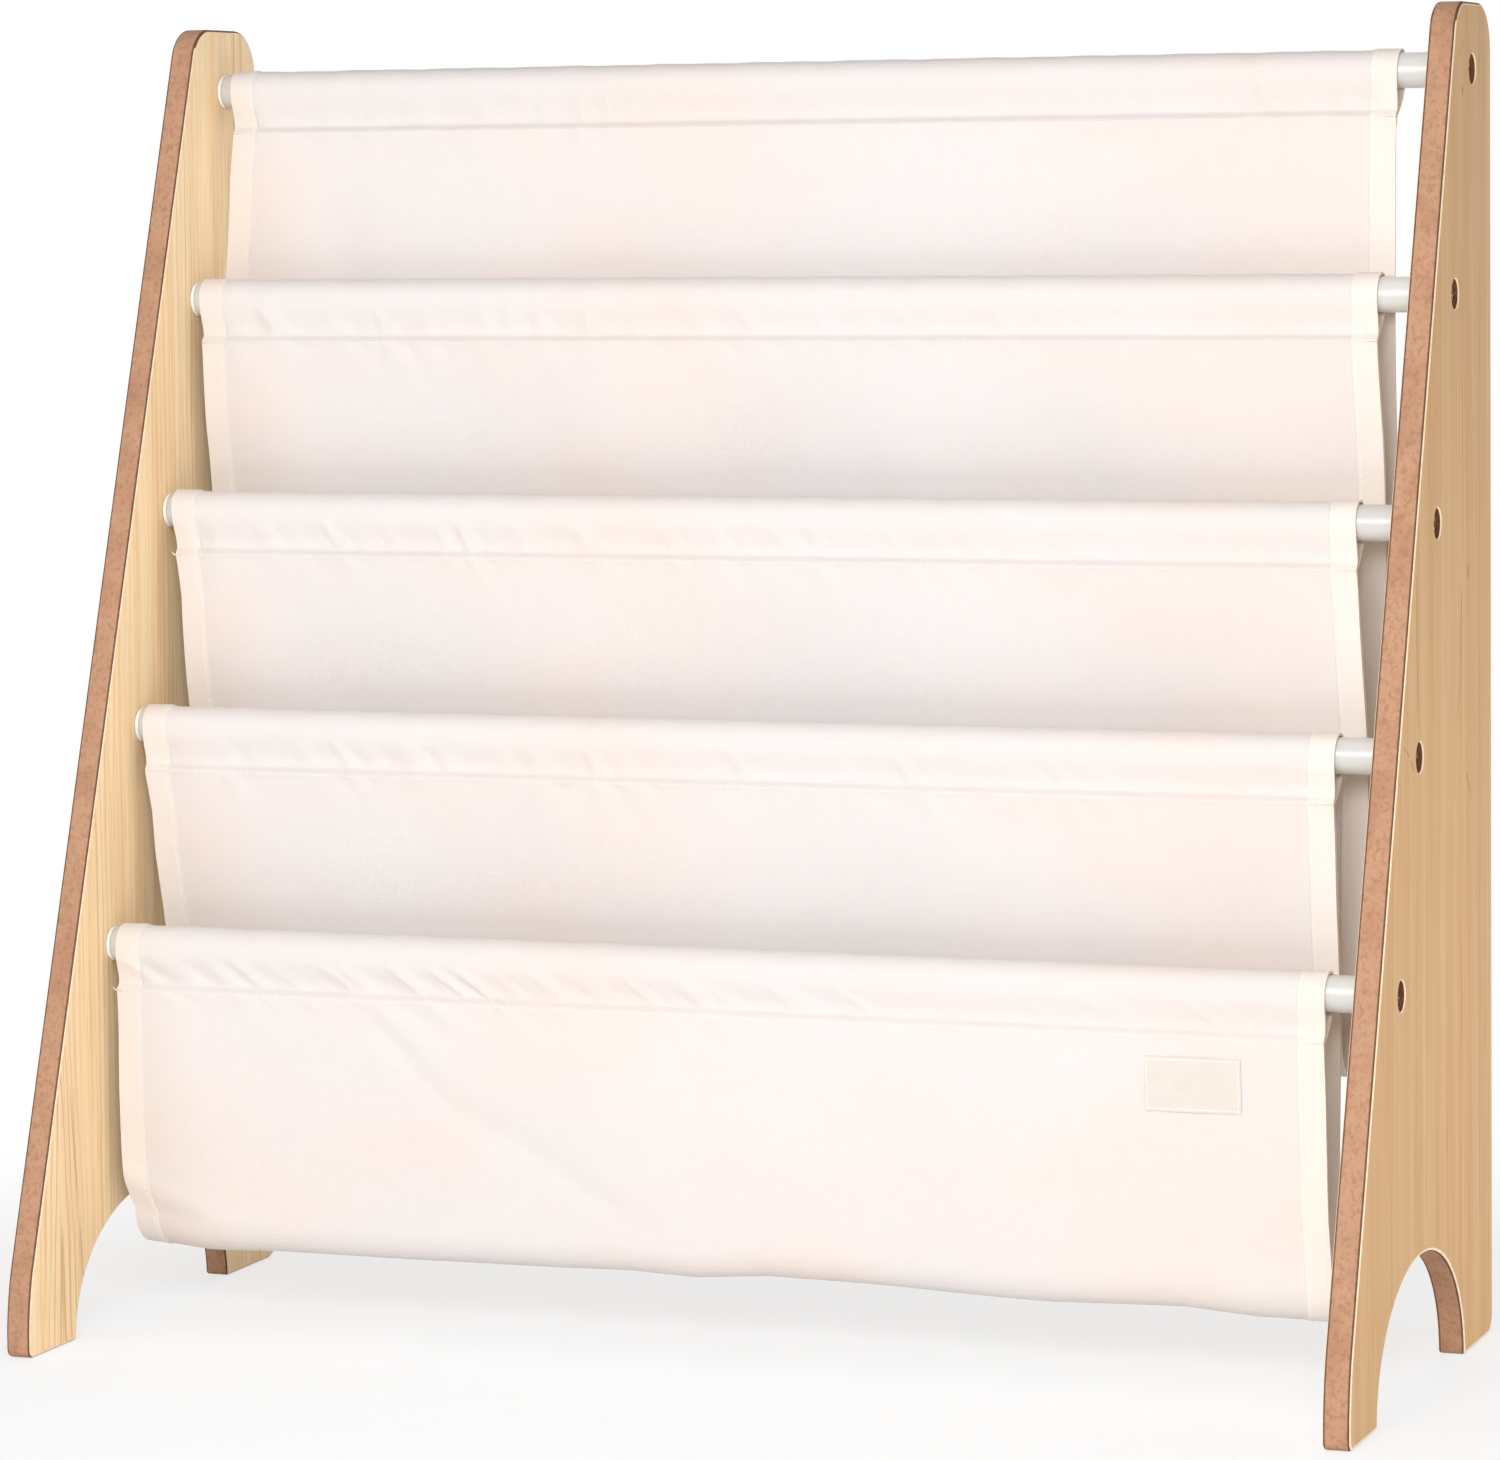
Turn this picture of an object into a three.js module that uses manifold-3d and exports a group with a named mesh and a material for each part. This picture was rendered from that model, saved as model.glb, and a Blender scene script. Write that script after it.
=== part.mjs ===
// A child's sling bookshelf: two cut side panels, five white rods screwed between them, and a sewn
// cloth sling that hangs from the rods in four pockets.
// Millimetres, +Z up, -Y at the front. The origin is on the floor under the middle of the rack.

import * as THREE from "three";
import { mergeVertices } from "three/addons/utils/BufferGeometryUtils.js";
import Module from "manifold-3d";

const wasm = await Module();
wasm.setup();

// Whole rack
const rackWidth = 622;
const seatGap = 0.3; // between pieces that bear on each other
const cutOverrun = 2; // how far a cutting tool runs past what it cuts

// Side panels
const panelHeight = 600;
const panelDepth = 258;
const panelThickness = 12;
const topDepth = 63.4; // where the sloping front edge would meet the top
const toeHeight = 25; // where the sloping edge would meet the upright toe
const toeBendRadius = 100;
const toeTipRadius = 4;
const heelRadius = 9;
const topFrontRadius = 18;
const topRearRadius = 18;
const archWidth = 157;
const archHeight = 59.5;
const frontFootLength = 45.8; // from the toe back to the arch
const arris = 0.6; // the eased edge round both faces
const cornerShare = 0.75; // the most of an edge that one rounded corner may take

// Rods
const rodCount = 5;
const rodDiameter = 16;
const rodWall = 1.2;
const rodInset = 38; // level, behind the sloping edge
const lowestRodHeight = 177;
const topRodDrop = 29.4; // of the highest rod below the panels' top

// End plugs
const plugFlange = 1.8;
const plugReach = 24; // how far the plug's body goes into the rod
const plugBarb = 0.6; // how far the barb stands out from the plug's body
const plugBarbLength = 7;
const plugNose = 1.6; // the lead-in at the plug's far end

// Screws
const screwDiameter = 6;
const screwLength = 28; // under the head
const screwHeadDiameter = 12;
const screwHeadHeight = 3.2;
const screwHeadEdge = 1.1; // the straight side under the domed top
const screwLeadIn = 1.5; // the tapered end of the shank
const driveSpan = 6.6; // across the cross recess
const driveSlot = 1.5;
const driveDepth = 1.9;
const counterboreDepth = 5;
const counterboreClearance = 1.4; // of the counterbore over the head, on the diameter
const holeClearance = 0.6; // of the screw's hole over the screw, on the diameter

// Cloth
const slingLeftGap = 6; // bare rod between the left panel and the cloth
const slingRightGap = 19; // bare rod between the cloth and the right panel
const clothThickness = 1.2;
const plyGap = 0.8; // between the two cloths that hang from one seam
const seamDrop = 20.5; // of the sleeve's seam under the rod's middle
const seamForward = 7.5; // of the seam in front of the rod's middle
const pocketDepth = 140; // of the pocket's bottom below its front rod
const bottomRise = 17; // of the rounded bottom
const frontWallRelief = 4.5; // how far the lowest wall leans back towards its bottom
const innerSwell = 8; // backward, of the two cloths under each rod between the ends
const rearSwell = -4; // backward, of the single cloth under the highest rod
const foldDepths = [1.6, 1.4, 1.8, 1.5, 1.3]; // of the soft upright folds, rod by rod
const foldPitches = [210, 165, 190, 150, 230]; // from fold to fold, rod by rod
const foldShifts = [40, 95, 10, 60, 120]; // of the first fold, from the cloth's left edge
const cornerFold = 5; // how far the front pocket's left corner is drawn in
const cornerFoldReach = 95; // how far along the pocket that drawing-in fades
const hemLift = 1; // how far the bottom line rises and falls along the pocket
const hemLiftPitch = 130;
const sleeveSlack = 1.1; // how far the loose cloth swells in front of the rod

// Label
const labelWidth = 43;
const labelHeight = 24;
const labelThickness = 0.5;
const labelFromEdge = 37; // from the cloth's right edge
const labelBelowSeam = 8.5; // of the label's top below the lowest rod's seam

// Facets
const heelSteps = 5;
const topRearSteps = 8;
const topFrontSteps = 7;
const toeBendSteps = 4;
const toeTipSteps = 3;
const holeSides = 18;
const screwSides = 16;
const plugSides = 16;
const rodSides = 28;
const archSteps = 22;
const frontWallSteps = 4;
const backWallSteps = 7;
const bottomSteps = 8;
const pocketColumns = 12;
const sleeveColumns = 6;
const sleeveArcSteps = 9;
const sleeveSideSteps = 3;

// Finishes, with the colours of the real rack
const finish = {
  panel: new THREE.MeshStandardMaterial({ color: 0xe6c396, roughness: 0.55, metalness: 0 }),
  rod: new THREE.MeshStandardMaterial({ color: 0xecedec, roughness: 0.35, metalness: 0 }),
  plug: new THREE.MeshStandardMaterial({ color: 0xf2f2f0, roughness: 0.5, metalness: 0 }),
  screw: new THREE.MeshStandardMaterial({ color: 0x6b4a35, roughness: 0.4, metalness: 0.9 }),
  cloth: new THREE.MeshStandardMaterial({ color: 0xfbf0ea, roughness: 0.9, metalness: 0 }),
  label: new THREE.MeshStandardMaterial({ color: 0xfdf8e6, roughness: 0.8, metalness: 0 }),
};

// Places that follow from the sizes
const innerWidth = rackWidth - 2 * panelThickness;
const toeFront = -panelDepth / 2;
const leanSlope = (panelDepth - topDepth) / (panelHeight - toeHeight);
const rodRise = (panelHeight - topRodDrop - lowestRodHeight) / (rodCount - 1);
const counterboreDiameter = screwHeadDiameter + counterboreClearance;
const slingLeft = -innerWidth / 2 + slingLeftGap;
const slingRight = innerWidth / 2 - slingRightGap;
const backDrop = rodRise + pocketDepth; // of a pocket's bottom below its rear rod
const plyShift = (clothThickness + plyGap) / 2;

function frontEdge(z) {
  return toeFront + (z - toeHeight) * leanSlope;
}

// The middle of a rod, counted from the lowest, as y and z.
function rodPlace(index) {
  const z = lowestRodHeight + index * rodRise;
  return new THREE.Vector2(frontEdge(z) + rodInset, z);
}

// Tools for solids

// Points along the arc that rounds the corner between two edges of an outline. A radius too large
// for the shorter edge gives way to it.
function roundedCorner(before, corner, after, fullRadius, steps) {
  const incoming = corner.clone().sub(before).normalize();
  const outgoing = after.clone().sub(corner).normalize();
  const turn = Math.acos(incoming.dot(outgoing));
  const room = cornerShare * Math.min(corner.distanceTo(before), corner.distanceTo(after));
  const radius = Math.min(fullRadius, room / Math.tan(turn / 2));
  const start = corner.clone().addScaledVector(incoming, -radius * Math.tan(turn / 2));
  const inward = new THREE.Vector2(-incoming.y, incoming.x);
  const centre = start.clone().addScaledVector(inward, radius);
  const from = inward.clone().negate().angle();
  return new THREE.EllipseCurve(
    centre.x, centre.y, radius, radius, from, from + turn, false, 0,
  ).getPoints(steps);
}

function solidFrom(geometry) {
  const bare = geometry.clone();
  bare.deleteAttribute("normal");
  bare.deleteAttribute("uv");
  const merged = mergeVertices(bare);
  return new wasm.Manifold(
    new wasm.Mesh({
      numProp: 3,
      vertProperties: merged.attributes.position.array,
      triVerts: new Uint32Array(merged.index.array),
    }),
  );
}

function geometryFrom(solid) {
  const mesh = solid.getMesh();
  const geometry = new THREE.BufferGeometry();
  geometry.setAttribute("position", new THREE.BufferAttribute(mesh.vertProperties, mesh.numProp));
  geometry.setIndex(new THREE.BufferAttribute(mesh.triVerts, 1));
  geometry.computeVertexNormals();
  return geometry;
}

// A turned piece whose axis runs along +X. The profile holds pairs of radius and place along X.
function turned(profile, sides) {
  const points = profile.map(([radius, along]) => new THREE.Vector2(radius, along));
  return new THREE.LatheGeometry(points, sides).rotateZ(-Math.PI / 2);
}

// A closed sheet with thickness, or a closed sleeve, from a grid of points on its two faces.
function sheetSolid(columns, rows, isSleeve, pointAt) {
  const positions = [];
  const indices = [];
  const rowCount = isSleeve ? rows : rows + 1;
  for (let face = 0; face < 2; face++) {
    for (let i = 0; i <= columns; i++) {
      for (let j = 0; j < rowCount; j++) {
        positions.push(...pointAt(i / columns, j / rows, face).toArray());
      }
    }
  }
  const at = (face, i, j) => (face * (columns + 1) + i) * rowCount + (j % rowCount);
  const quad = (a, b, c, d) => indices.push(a, c, b, a, d, c);
  for (let j = 0; j < rows; j++) {
    for (let i = 0; i < columns; i++) {
      quad(at(0, i, j), at(0, i + 1, j), at(0, i + 1, j + 1), at(0, i, j + 1));
      quad(at(1, i, j), at(1, i, j + 1), at(1, i + 1, j + 1), at(1, i + 1, j));
    }
    quad(at(0, 0, j), at(0, 0, j + 1), at(1, 0, j + 1), at(1, 0, j));
    quad(at(0, columns, j), at(1, columns, j), at(1, columns, j + 1), at(0, columns, j + 1));
  }
  if (!isSleeve) {
    for (let i = 0; i < columns; i++) {
      quad(at(0, i, 0), at(1, i, 0), at(1, i + 1, 0), at(0, i + 1, 0));
      quad(at(0, i, rows), at(0, i + 1, rows), at(1, i + 1, rows), at(1, i, rows));
    }
  }
  const geometry = new THREE.BufferGeometry();
  geometry.setAttribute("position", new THREE.Float32BufferAttribute(positions, 3));
  geometry.setIndex(indices);
  geometry.computeVertexNormals();
  return geometry;
}

// Side panels

function panelOutline() {
  const slopeTop = new THREE.Vector2(frontEdge(panelHeight), panelHeight);
  const rearTop = new THREE.Vector2(panelDepth / 2, panelHeight);
  const rearFloor = new THREE.Vector2(panelDepth / 2, 0);
  const toeFloor = new THREE.Vector2(toeFront, 0);
  const toeBend = new THREE.Vector2(toeFront, toeHeight);
  const archFront = new THREE.Vector2(toeFront + frontFootLength, 0);
  const archRear = new THREE.Vector2(archFront.x + archWidth, 0);
  const arch = new THREE.EllipseCurve(
    (archFront.x + archRear.x) / 2, 0, archWidth / 2, archHeight, Math.PI, 0, true, 0,
  ).getPoints(archSteps);
  return [
    ...arch,
    ...roundedCorner(archRear, rearFloor, rearTop, heelRadius, heelSteps),
    ...roundedCorner(rearFloor, rearTop, slopeTop, topRearRadius, topRearSteps),
    ...roundedCorner(rearTop, slopeTop, toeBend, topFrontRadius, topFrontSteps),
    ...roundedCorner(slopeTop, toeBend, toeFloor, toeBendRadius, toeBendSteps),
    ...roundedCorner(toeBend, toeFloor, archFront, toeTipRadius, toeTipSteps),
  ];
}

// A panel lying from x = 0, its inner face, to its outer face, with the counterbored screw holes.
function panelGeometry() {
  const blank = new THREE.ExtrudeGeometry(new THREE.Shape(panelOutline()), {
    depth: panelThickness - 2 * arris,
    bevelEnabled: true,
    bevelSegments: 1,
    bevelSize: arris,
    bevelOffset: -arris,
    bevelThickness: arris,
  });
  blank.translate(0, 0, arris);
  const turnUpright = new THREE.Matrix4().makeBasis(
    new THREE.Vector3(0, 1, 0), new THREE.Vector3(0, 0, 1), new THREE.Vector3(1, 0, 0),
  );
  blank.applyMatrix4(turnUpright);
  const holeRadius = (screwDiameter + holeClearance) / 2;
  const cutter = turned([
    [0, -cutOverrun],
    [holeRadius, -cutOverrun],
    [holeRadius, panelThickness - counterboreDepth],
    [counterboreDiameter / 2, panelThickness - counterboreDepth],
    [counterboreDiameter / 2, panelThickness + cutOverrun],
    [0, panelThickness + cutOverrun],
  ], holeSides);
  let panel = solidFrom(blank);
  for (let index = 0; index < rodCount; index++) {
    const place = rodPlace(index);
    const tool = cutter.clone().translate(0, place.x, place.y);
    panel = panel.subtract(solidFrom(tool));
  }
  return geometryFrom(panel);
}

// Rods, end plugs and screws

const flangeFace = innerWidth / 2 - seatGap; // the flange's outer face
const rodEnd = flangeFace - plugFlange - seatGap;

function rodGeometry() {
  const outer = rodDiameter / 2;
  const bore = outer - rodWall;
  return turned([
    [bore, -rodEnd],
    [outer, -rodEnd],
    [outer, rodEnd],
    [bore, rodEnd],
    [bore, -rodEnd],
  ], rodSides);
}

// A plug for the right end of a rod: a flange, a barbed body and a bore for the screw.
function plugGeometry() {
  const bore = (screwDiameter + holeClearance) / 2;
  const body = rodDiameter / 2 - rodWall - seatGap;
  const neck = body - plugBarb;
  const shoulder = flangeFace - plugFlange;
  const nose = shoulder - plugReach;
  return turned([
    [bore, nose],
    [neck, nose],
    [body, nose + plugNose],
    [body, nose + plugNose + plugBarbLength],
    [neck, nose + plugNose + plugBarbLength],
    [neck, shoulder],
    [rodDiameter / 2, shoulder],
    [rodDiameter / 2, flangeFace],
    [bore, flangeFace],
    [bore, nose],
  ], plugSides);
}

// A screw for the right panel: a domed head with a cross recess, seated in the counterbore.
function screwGeometry() {
  const seat = rackWidth / 2 - counterboreDepth + seatGap;
  const shank = screwDiameter / 2;
  const head = screwHeadDiameter / 2;
  const domeShares = [[1, 0], [0.72, 0.74], [0, 1]];
  const dome = domeShares.map(([across, up]) => [
    head * across,
    seat + screwHeadEdge + (screwHeadHeight - screwHeadEdge) * up,
  ]);
  const blank = turned([
    [0, seat - screwLength],
    [shank - holeClearance, seat - screwLength],
    [shank, seat - screwLength + screwLeadIn],
    [shank, seat],
    [head, seat],
    ...dome,
  ], screwSides);
  const slotDepth = driveDepth + cutOverrun;
  const slot = new THREE.BoxGeometry(slotDepth, driveSlot, driveSpan);
  slot.translate(seat + screwHeadHeight - driveDepth + slotDepth / 2, 0, 0);
  const crossSlot = slot.clone().rotateX(Math.PI / 2);
  return geometryFrom(solidFrom(blank).subtract(solidFrom(slot)).subtract(solidFrom(crossSlot)));
}

// Cloth

// How far back the soft upright folds under a rod lie, at a place along X.
function foldAt(index, x, drop) {
  const turn = index % foldDepths.length;
  const along = (x - slingLeft - foldShifts[turn]) / foldPitches[turn];
  const free = THREE.MathUtils.smoothstep(drop, seamDrop, pocketDepth / 2);
  return -foldDepths[turn] * Math.cos(2 * Math.PI * along) * free;
}

// Where the cloth under a rod hangs, as y, at a drop below the rod's middle.
function hangingLine(index, x, drop) {
  const place = rodPlace(index);
  const share = (drop - seamDrop) / (backDrop - seamDrop);
  const mostSwell = index === rodCount - 1 ? rearSwell : innerSwell;
  const swell = index === 0
    ? frontWallRelief * share * (backDrop / pocketDepth)
    : mostSwell * Math.sin(Math.PI * share);
  return place.x - seamForward + swell + foldAt(index, x, drop);
}

// The middle of a pocket's cloth: down its front wall, round its bottom and up its back wall.
function pocketLine(index, x, row) {
  const front = rodPlace(index);
  const back = rodPlace(index + 1);
  const lift = hemLift * Math.sin((2 * Math.PI * (x - slingLeft)) / hemLiftPitch + index);
  const floor = front.y - pocketDepth + lift;
  const bendStart = floor + bottomRise;
  const fromCorner = (x - slingLeft) / cornerFoldReach;
  const corner = index === 0 ? cornerFold * Math.exp(-fromCorner * fromCorner) : 0;
  const frontAt = (drop) => hangingLine(index, x, drop) + plyShift;
  const backAt = (drop) => hangingLine(index + 1, x, drop) - plyShift;
  const drawnIn = (z) => corner * (1 - THREE.MathUtils.smoothstep(z, floor, floor + cornerFoldReach));
  const top = seamDrop + seatGap;
  if (row < frontWallSteps) {
    const z = THREE.MathUtils.lerp(front.y - top, bendStart, row / frontWallSteps);
    return new THREE.Vector2(frontAt(front.y - z) + drawnIn(z), z);
  }
  if (row <= frontWallSteps + bottomSteps) {
    const angle = (Math.PI * (row - frontWallSteps)) / bottomSteps;
    const from = frontAt(front.y - bendStart) + drawnIn(bendStart);
    const to = backAt(back.y - bendStart);
    const across = (1 - Math.cos(angle)) / 2;
    return new THREE.Vector2(
      THREE.MathUtils.lerp(from, to, across),
      bendStart - bottomRise * Math.sin(angle),
    );
  }
  const rise = (row - frontWallSteps - bottomSteps) / backWallSteps;
  const z = THREE.MathUtils.lerp(bendStart, back.y - top, rise);
  return new THREE.Vector2(backAt(back.y - z), z);
}

function pocketGeometry(index) {
  const rows = frontWallSteps + bottomSteps + backWallSteps;
  return sheetSolid(pocketColumns, rows, false, (across, along, face) => {
    const x = THREE.MathUtils.lerp(slingLeft, slingRight, across);
    const row = Math.round(along * rows);
    const here = pocketLine(index, x, row);
    const ahead = pocketLine(index, x, Math.min(row + 1, rows));
    const behind = pocketLine(index, x, Math.max(row - 1, 0));
    const way = ahead.sub(behind).normalize();
    const side = face === 0 ? -clothThickness / 2 : clothThickness / 2;
    return new THREE.Vector3(x, here.x - way.y * side, here.y + way.x * side);
  });
}

// The closed outline of a sleeve's cloth round a rod, on its inner or outer face: over the rod, and
// down both sides to the seam.
function sleeveOutline(offset, slack) {
  const radius = rodDiameter / 2 + seatGap;
  const outerSeam = new THREE.Vector2(-seamForward, -seamDrop);
  const seam = outerSeam.multiplyScalar((radius + offset) / (radius + clothThickness));
  const half = Math.acos((radius + offset) / seam.length());
  const points = [];
  for (let step = 0; step <= sleeveArcSteps; step++) {
    const angle = seam.angle() + half + (2 * (Math.PI - half) * step) / sleeveArcSteps;
    points.push(new THREE.Vector2(Math.cos(angle), Math.sin(angle)).multiplyScalar(radius + offset));
  }
  const rear = points[0];
  const front = points[sleeveArcSteps];
  for (let step = 1; step < 2 * sleeveSideSteps; step++) {
    const share = step / sleeveSideSteps;
    const isFront = share < 1;
    const point = isFront ? front.clone().lerp(seam, share) : seam.clone().lerp(rear, share - 1);
    point.x -= isFront ? slack * Math.sin(Math.PI * share) : 0;
    points.push(point);
  }
  return points;
}

function sleeveGeometry(index) {
  const rows = sleeveArcSteps + 2 * sleeveSideSteps;
  const place = rodPlace(index);
  return sheetSolid(sleeveColumns, rows, true, (across, along, face) => {
    const x = THREE.MathUtils.lerp(slingLeft, slingRight, across);
    const slack = sleeveSlack * (1 - Math.cos(2 * Math.PI * across)) / 2;
    const outline = sleeveOutline(face === 0 ? clothThickness : 0, slack);
    const point = outline[Math.round(along * rows) % rows];
    return new THREE.Vector3(x, place.x + point.x, place.y + point.y);
  });
}

// The label, bare, sewn flat on the front wall of the lowest pocket.
function labelGeometry() {
  const right = slingRight - labelFromEdge;
  return sheetSolid(1, 1, false, (across, along, face) => {
    const x = right - labelWidth * (1 - across);
    const drop = seamDrop + labelBelowSeam + labelHeight * along;
    const cloth = hangingLine(0, x, drop) + plyShift - clothThickness / 2;
    const away = seatGap + (face === 0 ? labelThickness : 0);
    return new THREE.Vector3(x, cloth - away, lowestRodHeight - drop);
  });
}

// The rack

const rack = new THREE.Group();

function addPiece(name, geometry, material, parent = rack) {
  const mesh = new THREE.Mesh(geometry, material);
  mesh.name = name;
  parent.add(mesh);
  return mesh;
}

const panelShape = panelGeometry();
addPiece("side_panel_right", panelShape, finish.panel).position.x = innerWidth / 2;
const leftPanelShape = panelShape.clone().scale(-1, 1, 1);
leftPanelShape.setIndex([...panelShape.index.array].reverse());
addPiece("side_panel_left", leftPanelShape, finish.panel).position.x = -innerWidth / 2;

const rodShape = rodGeometry();
const plugShape = plugGeometry();
const screwShape = screwGeometry();

for (let index = 0; index < rodCount; index++) {
  const level = index + 1;
  const place = rodPlace(index);
  const bar = new THREE.Group();
  bar.position.set(0, place.x, place.y);
  rack.add(bar);
  addPiece(`rod_${level}`, rodShape, finish.rod, bar);
  for (const [side, turn] of [["right", 0], ["left", Math.PI]]) {
    const end = new THREE.Group();
    end.rotation.z = turn;
    bar.add(end);
    addPiece(`end_plug_${level}_${side}`, plugShape, finish.plug, end);
    addPiece(`screw_${level}_${side}`, screwShape, finish.screw, end);
  }
  addPiece(`sleeve_${level}`, sleeveGeometry(index), finish.cloth);
}

for (let index = 0; index < rodCount - 1; index++) {
  addPiece(`pocket_${index + 1}`, pocketGeometry(index), finish.cloth);
}

addPiece("label", labelGeometry(), finish.label);

export default rack;
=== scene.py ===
"""A child's sling bookshelf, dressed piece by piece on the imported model's frame.

Two maple-faced side panels carry five white rods, and a sewn cloth sling hangs from the rods in four
pockets. Lengths are in metres unless a name says otherwise, X runs across the rack, Y from the front to
the rear and Z up.
"""

import logging
import math
from contextlib import contextmanager
from dataclasses import dataclass
from enum import Enum
from typing import Callable, Iterator, Sequence

import bmesh
import bpy
import numpy as np
from mathutils import Matrix, Vector

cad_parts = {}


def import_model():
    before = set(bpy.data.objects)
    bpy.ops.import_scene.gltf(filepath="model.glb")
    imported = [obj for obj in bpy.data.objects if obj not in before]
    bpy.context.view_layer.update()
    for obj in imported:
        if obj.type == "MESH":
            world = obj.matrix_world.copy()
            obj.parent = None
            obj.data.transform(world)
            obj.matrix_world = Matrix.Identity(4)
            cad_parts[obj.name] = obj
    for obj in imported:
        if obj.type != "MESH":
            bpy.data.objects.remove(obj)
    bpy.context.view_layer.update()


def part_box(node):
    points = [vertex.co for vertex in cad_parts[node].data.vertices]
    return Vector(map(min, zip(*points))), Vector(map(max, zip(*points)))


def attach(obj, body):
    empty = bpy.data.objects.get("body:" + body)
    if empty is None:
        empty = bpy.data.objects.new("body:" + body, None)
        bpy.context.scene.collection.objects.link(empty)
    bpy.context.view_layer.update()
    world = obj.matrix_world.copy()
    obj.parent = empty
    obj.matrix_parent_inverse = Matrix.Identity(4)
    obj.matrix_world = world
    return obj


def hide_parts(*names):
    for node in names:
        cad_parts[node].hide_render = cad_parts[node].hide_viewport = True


log = logging.getLogger("sling_bookshelf")

MM = 0.001
ROD_COUNT = 5
POCKET_COUNT = 4
BODY = "root"

Colour = tuple[float, float, float, float]
Pairs = tuple[tuple[float, float], ...]
Stitch = tuple[np.ndarray, np.ndarray, np.ndarray]


class Side(Enum):
    """The two ends of the rack, by the sign of X."""

    LEFT = -1
    RIGHT = 1

    @property
    def word(self) -> str:
        """The side's name as the pieces use it."""
        return self.name.lower()


class Slot(Enum):
    """The material slots' names."""

    BOARD = "panel_board"
    ROD = "rod_coating"
    PLUG = "plug_plastic"
    SCREW = "screw_plating"
    CLOTH = "sling_cloth"
    LABEL = "label_cloth"


class Zone(Enum):
    """The kinds of face on a side panel, by the number of their material."""

    OUTER_FACE = 0
    CUT_EDGE = 1
    BORED_WALL = 2
    RIM = 3
    INNER_FACE = 4


def shade_of(red: int, green: int, blue: int) -> Colour:
    """Turn a colour as a screen shows it, 0 to 255, into the renderer's linear colour."""
    return (*(linear_light(part / 255) for part in (red, green, blue)), 1.0)


def linear_light(share: float) -> float:
    """Undo the screen's gamma for one part of a colour."""
    return share / 12.92 if share <= 0.04045 else ((share + 0.055) / 1.055) ** 2.4


# Meshes made by hand


def clear_selection() -> None:
    """Deselect every object, because an operator acts on all that is selected."""
    bpy.ops.object.select_all(action="DESELECT")


def take_up(obj: bpy.types.Object) -> None:
    """Make one object the only selected one and the active one.

    Args:
        obj: the object to work on.
    """
    clear_selection()
    obj.select_set(True)
    bpy.context.view_layer.objects.active = obj


def settle(obj: bpy.types.Object) -> bpy.types.Object:
    """Put an object's place, turn and scale into its mesh.

    Args:
        obj: the object, such as a new primitive.

    Returns:
        The same object, now at the origin, unturned and unscaled.
    """
    take_up(obj)
    bpy.ops.object.transform_apply(location=True, rotation=True, scale=True)
    return obj


@contextmanager
def editing(obj: bpy.types.Object) -> Iterator[None]:
    """Hold one object in edit mode with nothing of it selected.

    Args:
        obj: the object to edit.

    Returns:
        A context that ends in object mode.
    """
    take_up(obj)
    bpy.ops.object.mode_set(mode="EDIT")
    bpy.ops.mesh.select_all(action="DESELECT")
    try:
        yield
    finally:
        bpy.ops.object.mode_set(mode="OBJECT")


def pick_faces(obj: bpy.types.Object, wanted: Callable[[Vector, Vector], bool]) -> None:
    """Select the faces that pass a test, in edit mode.

    Args:
        obj: the object being edited.
        wanted: takes a face's centre and normal.
    """
    bpy.ops.mesh.select_mode(type="FACE")
    mesh = bmesh.from_edit_mesh(obj.data)
    mesh.normal_update()
    for face in mesh.faces:
        face.select_set(bool(wanted(face.calc_center_median(), face.normal)))
    bmesh.update_edit_mesh(obj.data)


def pick_edges(obj: bpy.types.Object, wanted: Callable[[Vector, Vector], bool]) -> None:
    """Select the edges whose two ends pass a test, in edit mode.

    Args:
        obj: the object being edited.
        wanted: takes the places of an edge's two ends.
    """
    bpy.ops.mesh.select_mode(type="EDGE")
    mesh = bmesh.from_edit_mesh(obj.data)
    for part in (*mesh.faces, *mesh.edges, *mesh.verts):
        part.select_set(False)
    for edge in mesh.edges:
        if wanted(edge.verts[0].co, edge.verts[1].co):
            edge.select_set(True)
    bmesh.update_edit_mesh(obj.data)


def near(first: float, second: float, reach: float = 0.05 * MM) -> bool:
    """Tell whether two lengths are the same within a reach."""
    return abs(first - second) < reach


def apply_modifier(obj: bpy.types.Object, kind: str, **settings: object) -> None:
    """Add one modifier with its settings and apply it.

    Args:
        obj: the object that it changes.
        kind: the modifier's type, such as BEVEL.
        settings: its properties by name.
    """
    modifier = obj.modifiers.new(kind.title(), kind)
    for name, value in settings.items():
        setattr(modifier, name, value)
    take_up(obj)
    bpy.ops.object.modifier_apply(modifier=modifier.name)


def cut_away(obj: bpy.types.Object, cutter: bpy.types.Object) -> None:
    """Take a cutter's shape out of an object and throw the cutter away."""
    apply_modifier(obj, "BOOLEAN", operation="DIFFERENCE", solver="EXACT", object=cutter)
    bpy.data.objects.remove(cutter)


def tidy_normals(obj: bpy.types.Object, merge: float = 0.002 * MM) -> None:
    """Merge doubled points, then turn every face outwards.

    Args:
        obj: the object whose mesh is tidied.
        merge: how close two points are to count as one.
    """
    with editing(obj):
        bpy.ops.mesh.select_all(action="SELECT")
        bpy.ops.mesh.remove_doubles(threshold=merge)
        bpy.ops.mesh.normals_make_consistent(inside=False)


def smooth(obj: bpy.types.Object, degrees: float) -> None:
    """Shade an object smooth, apart from edges sharper than an angle."""
    take_up(obj)
    bpy.ops.object.shade_smooth_by_angle(angle=math.radians(degrees))


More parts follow.
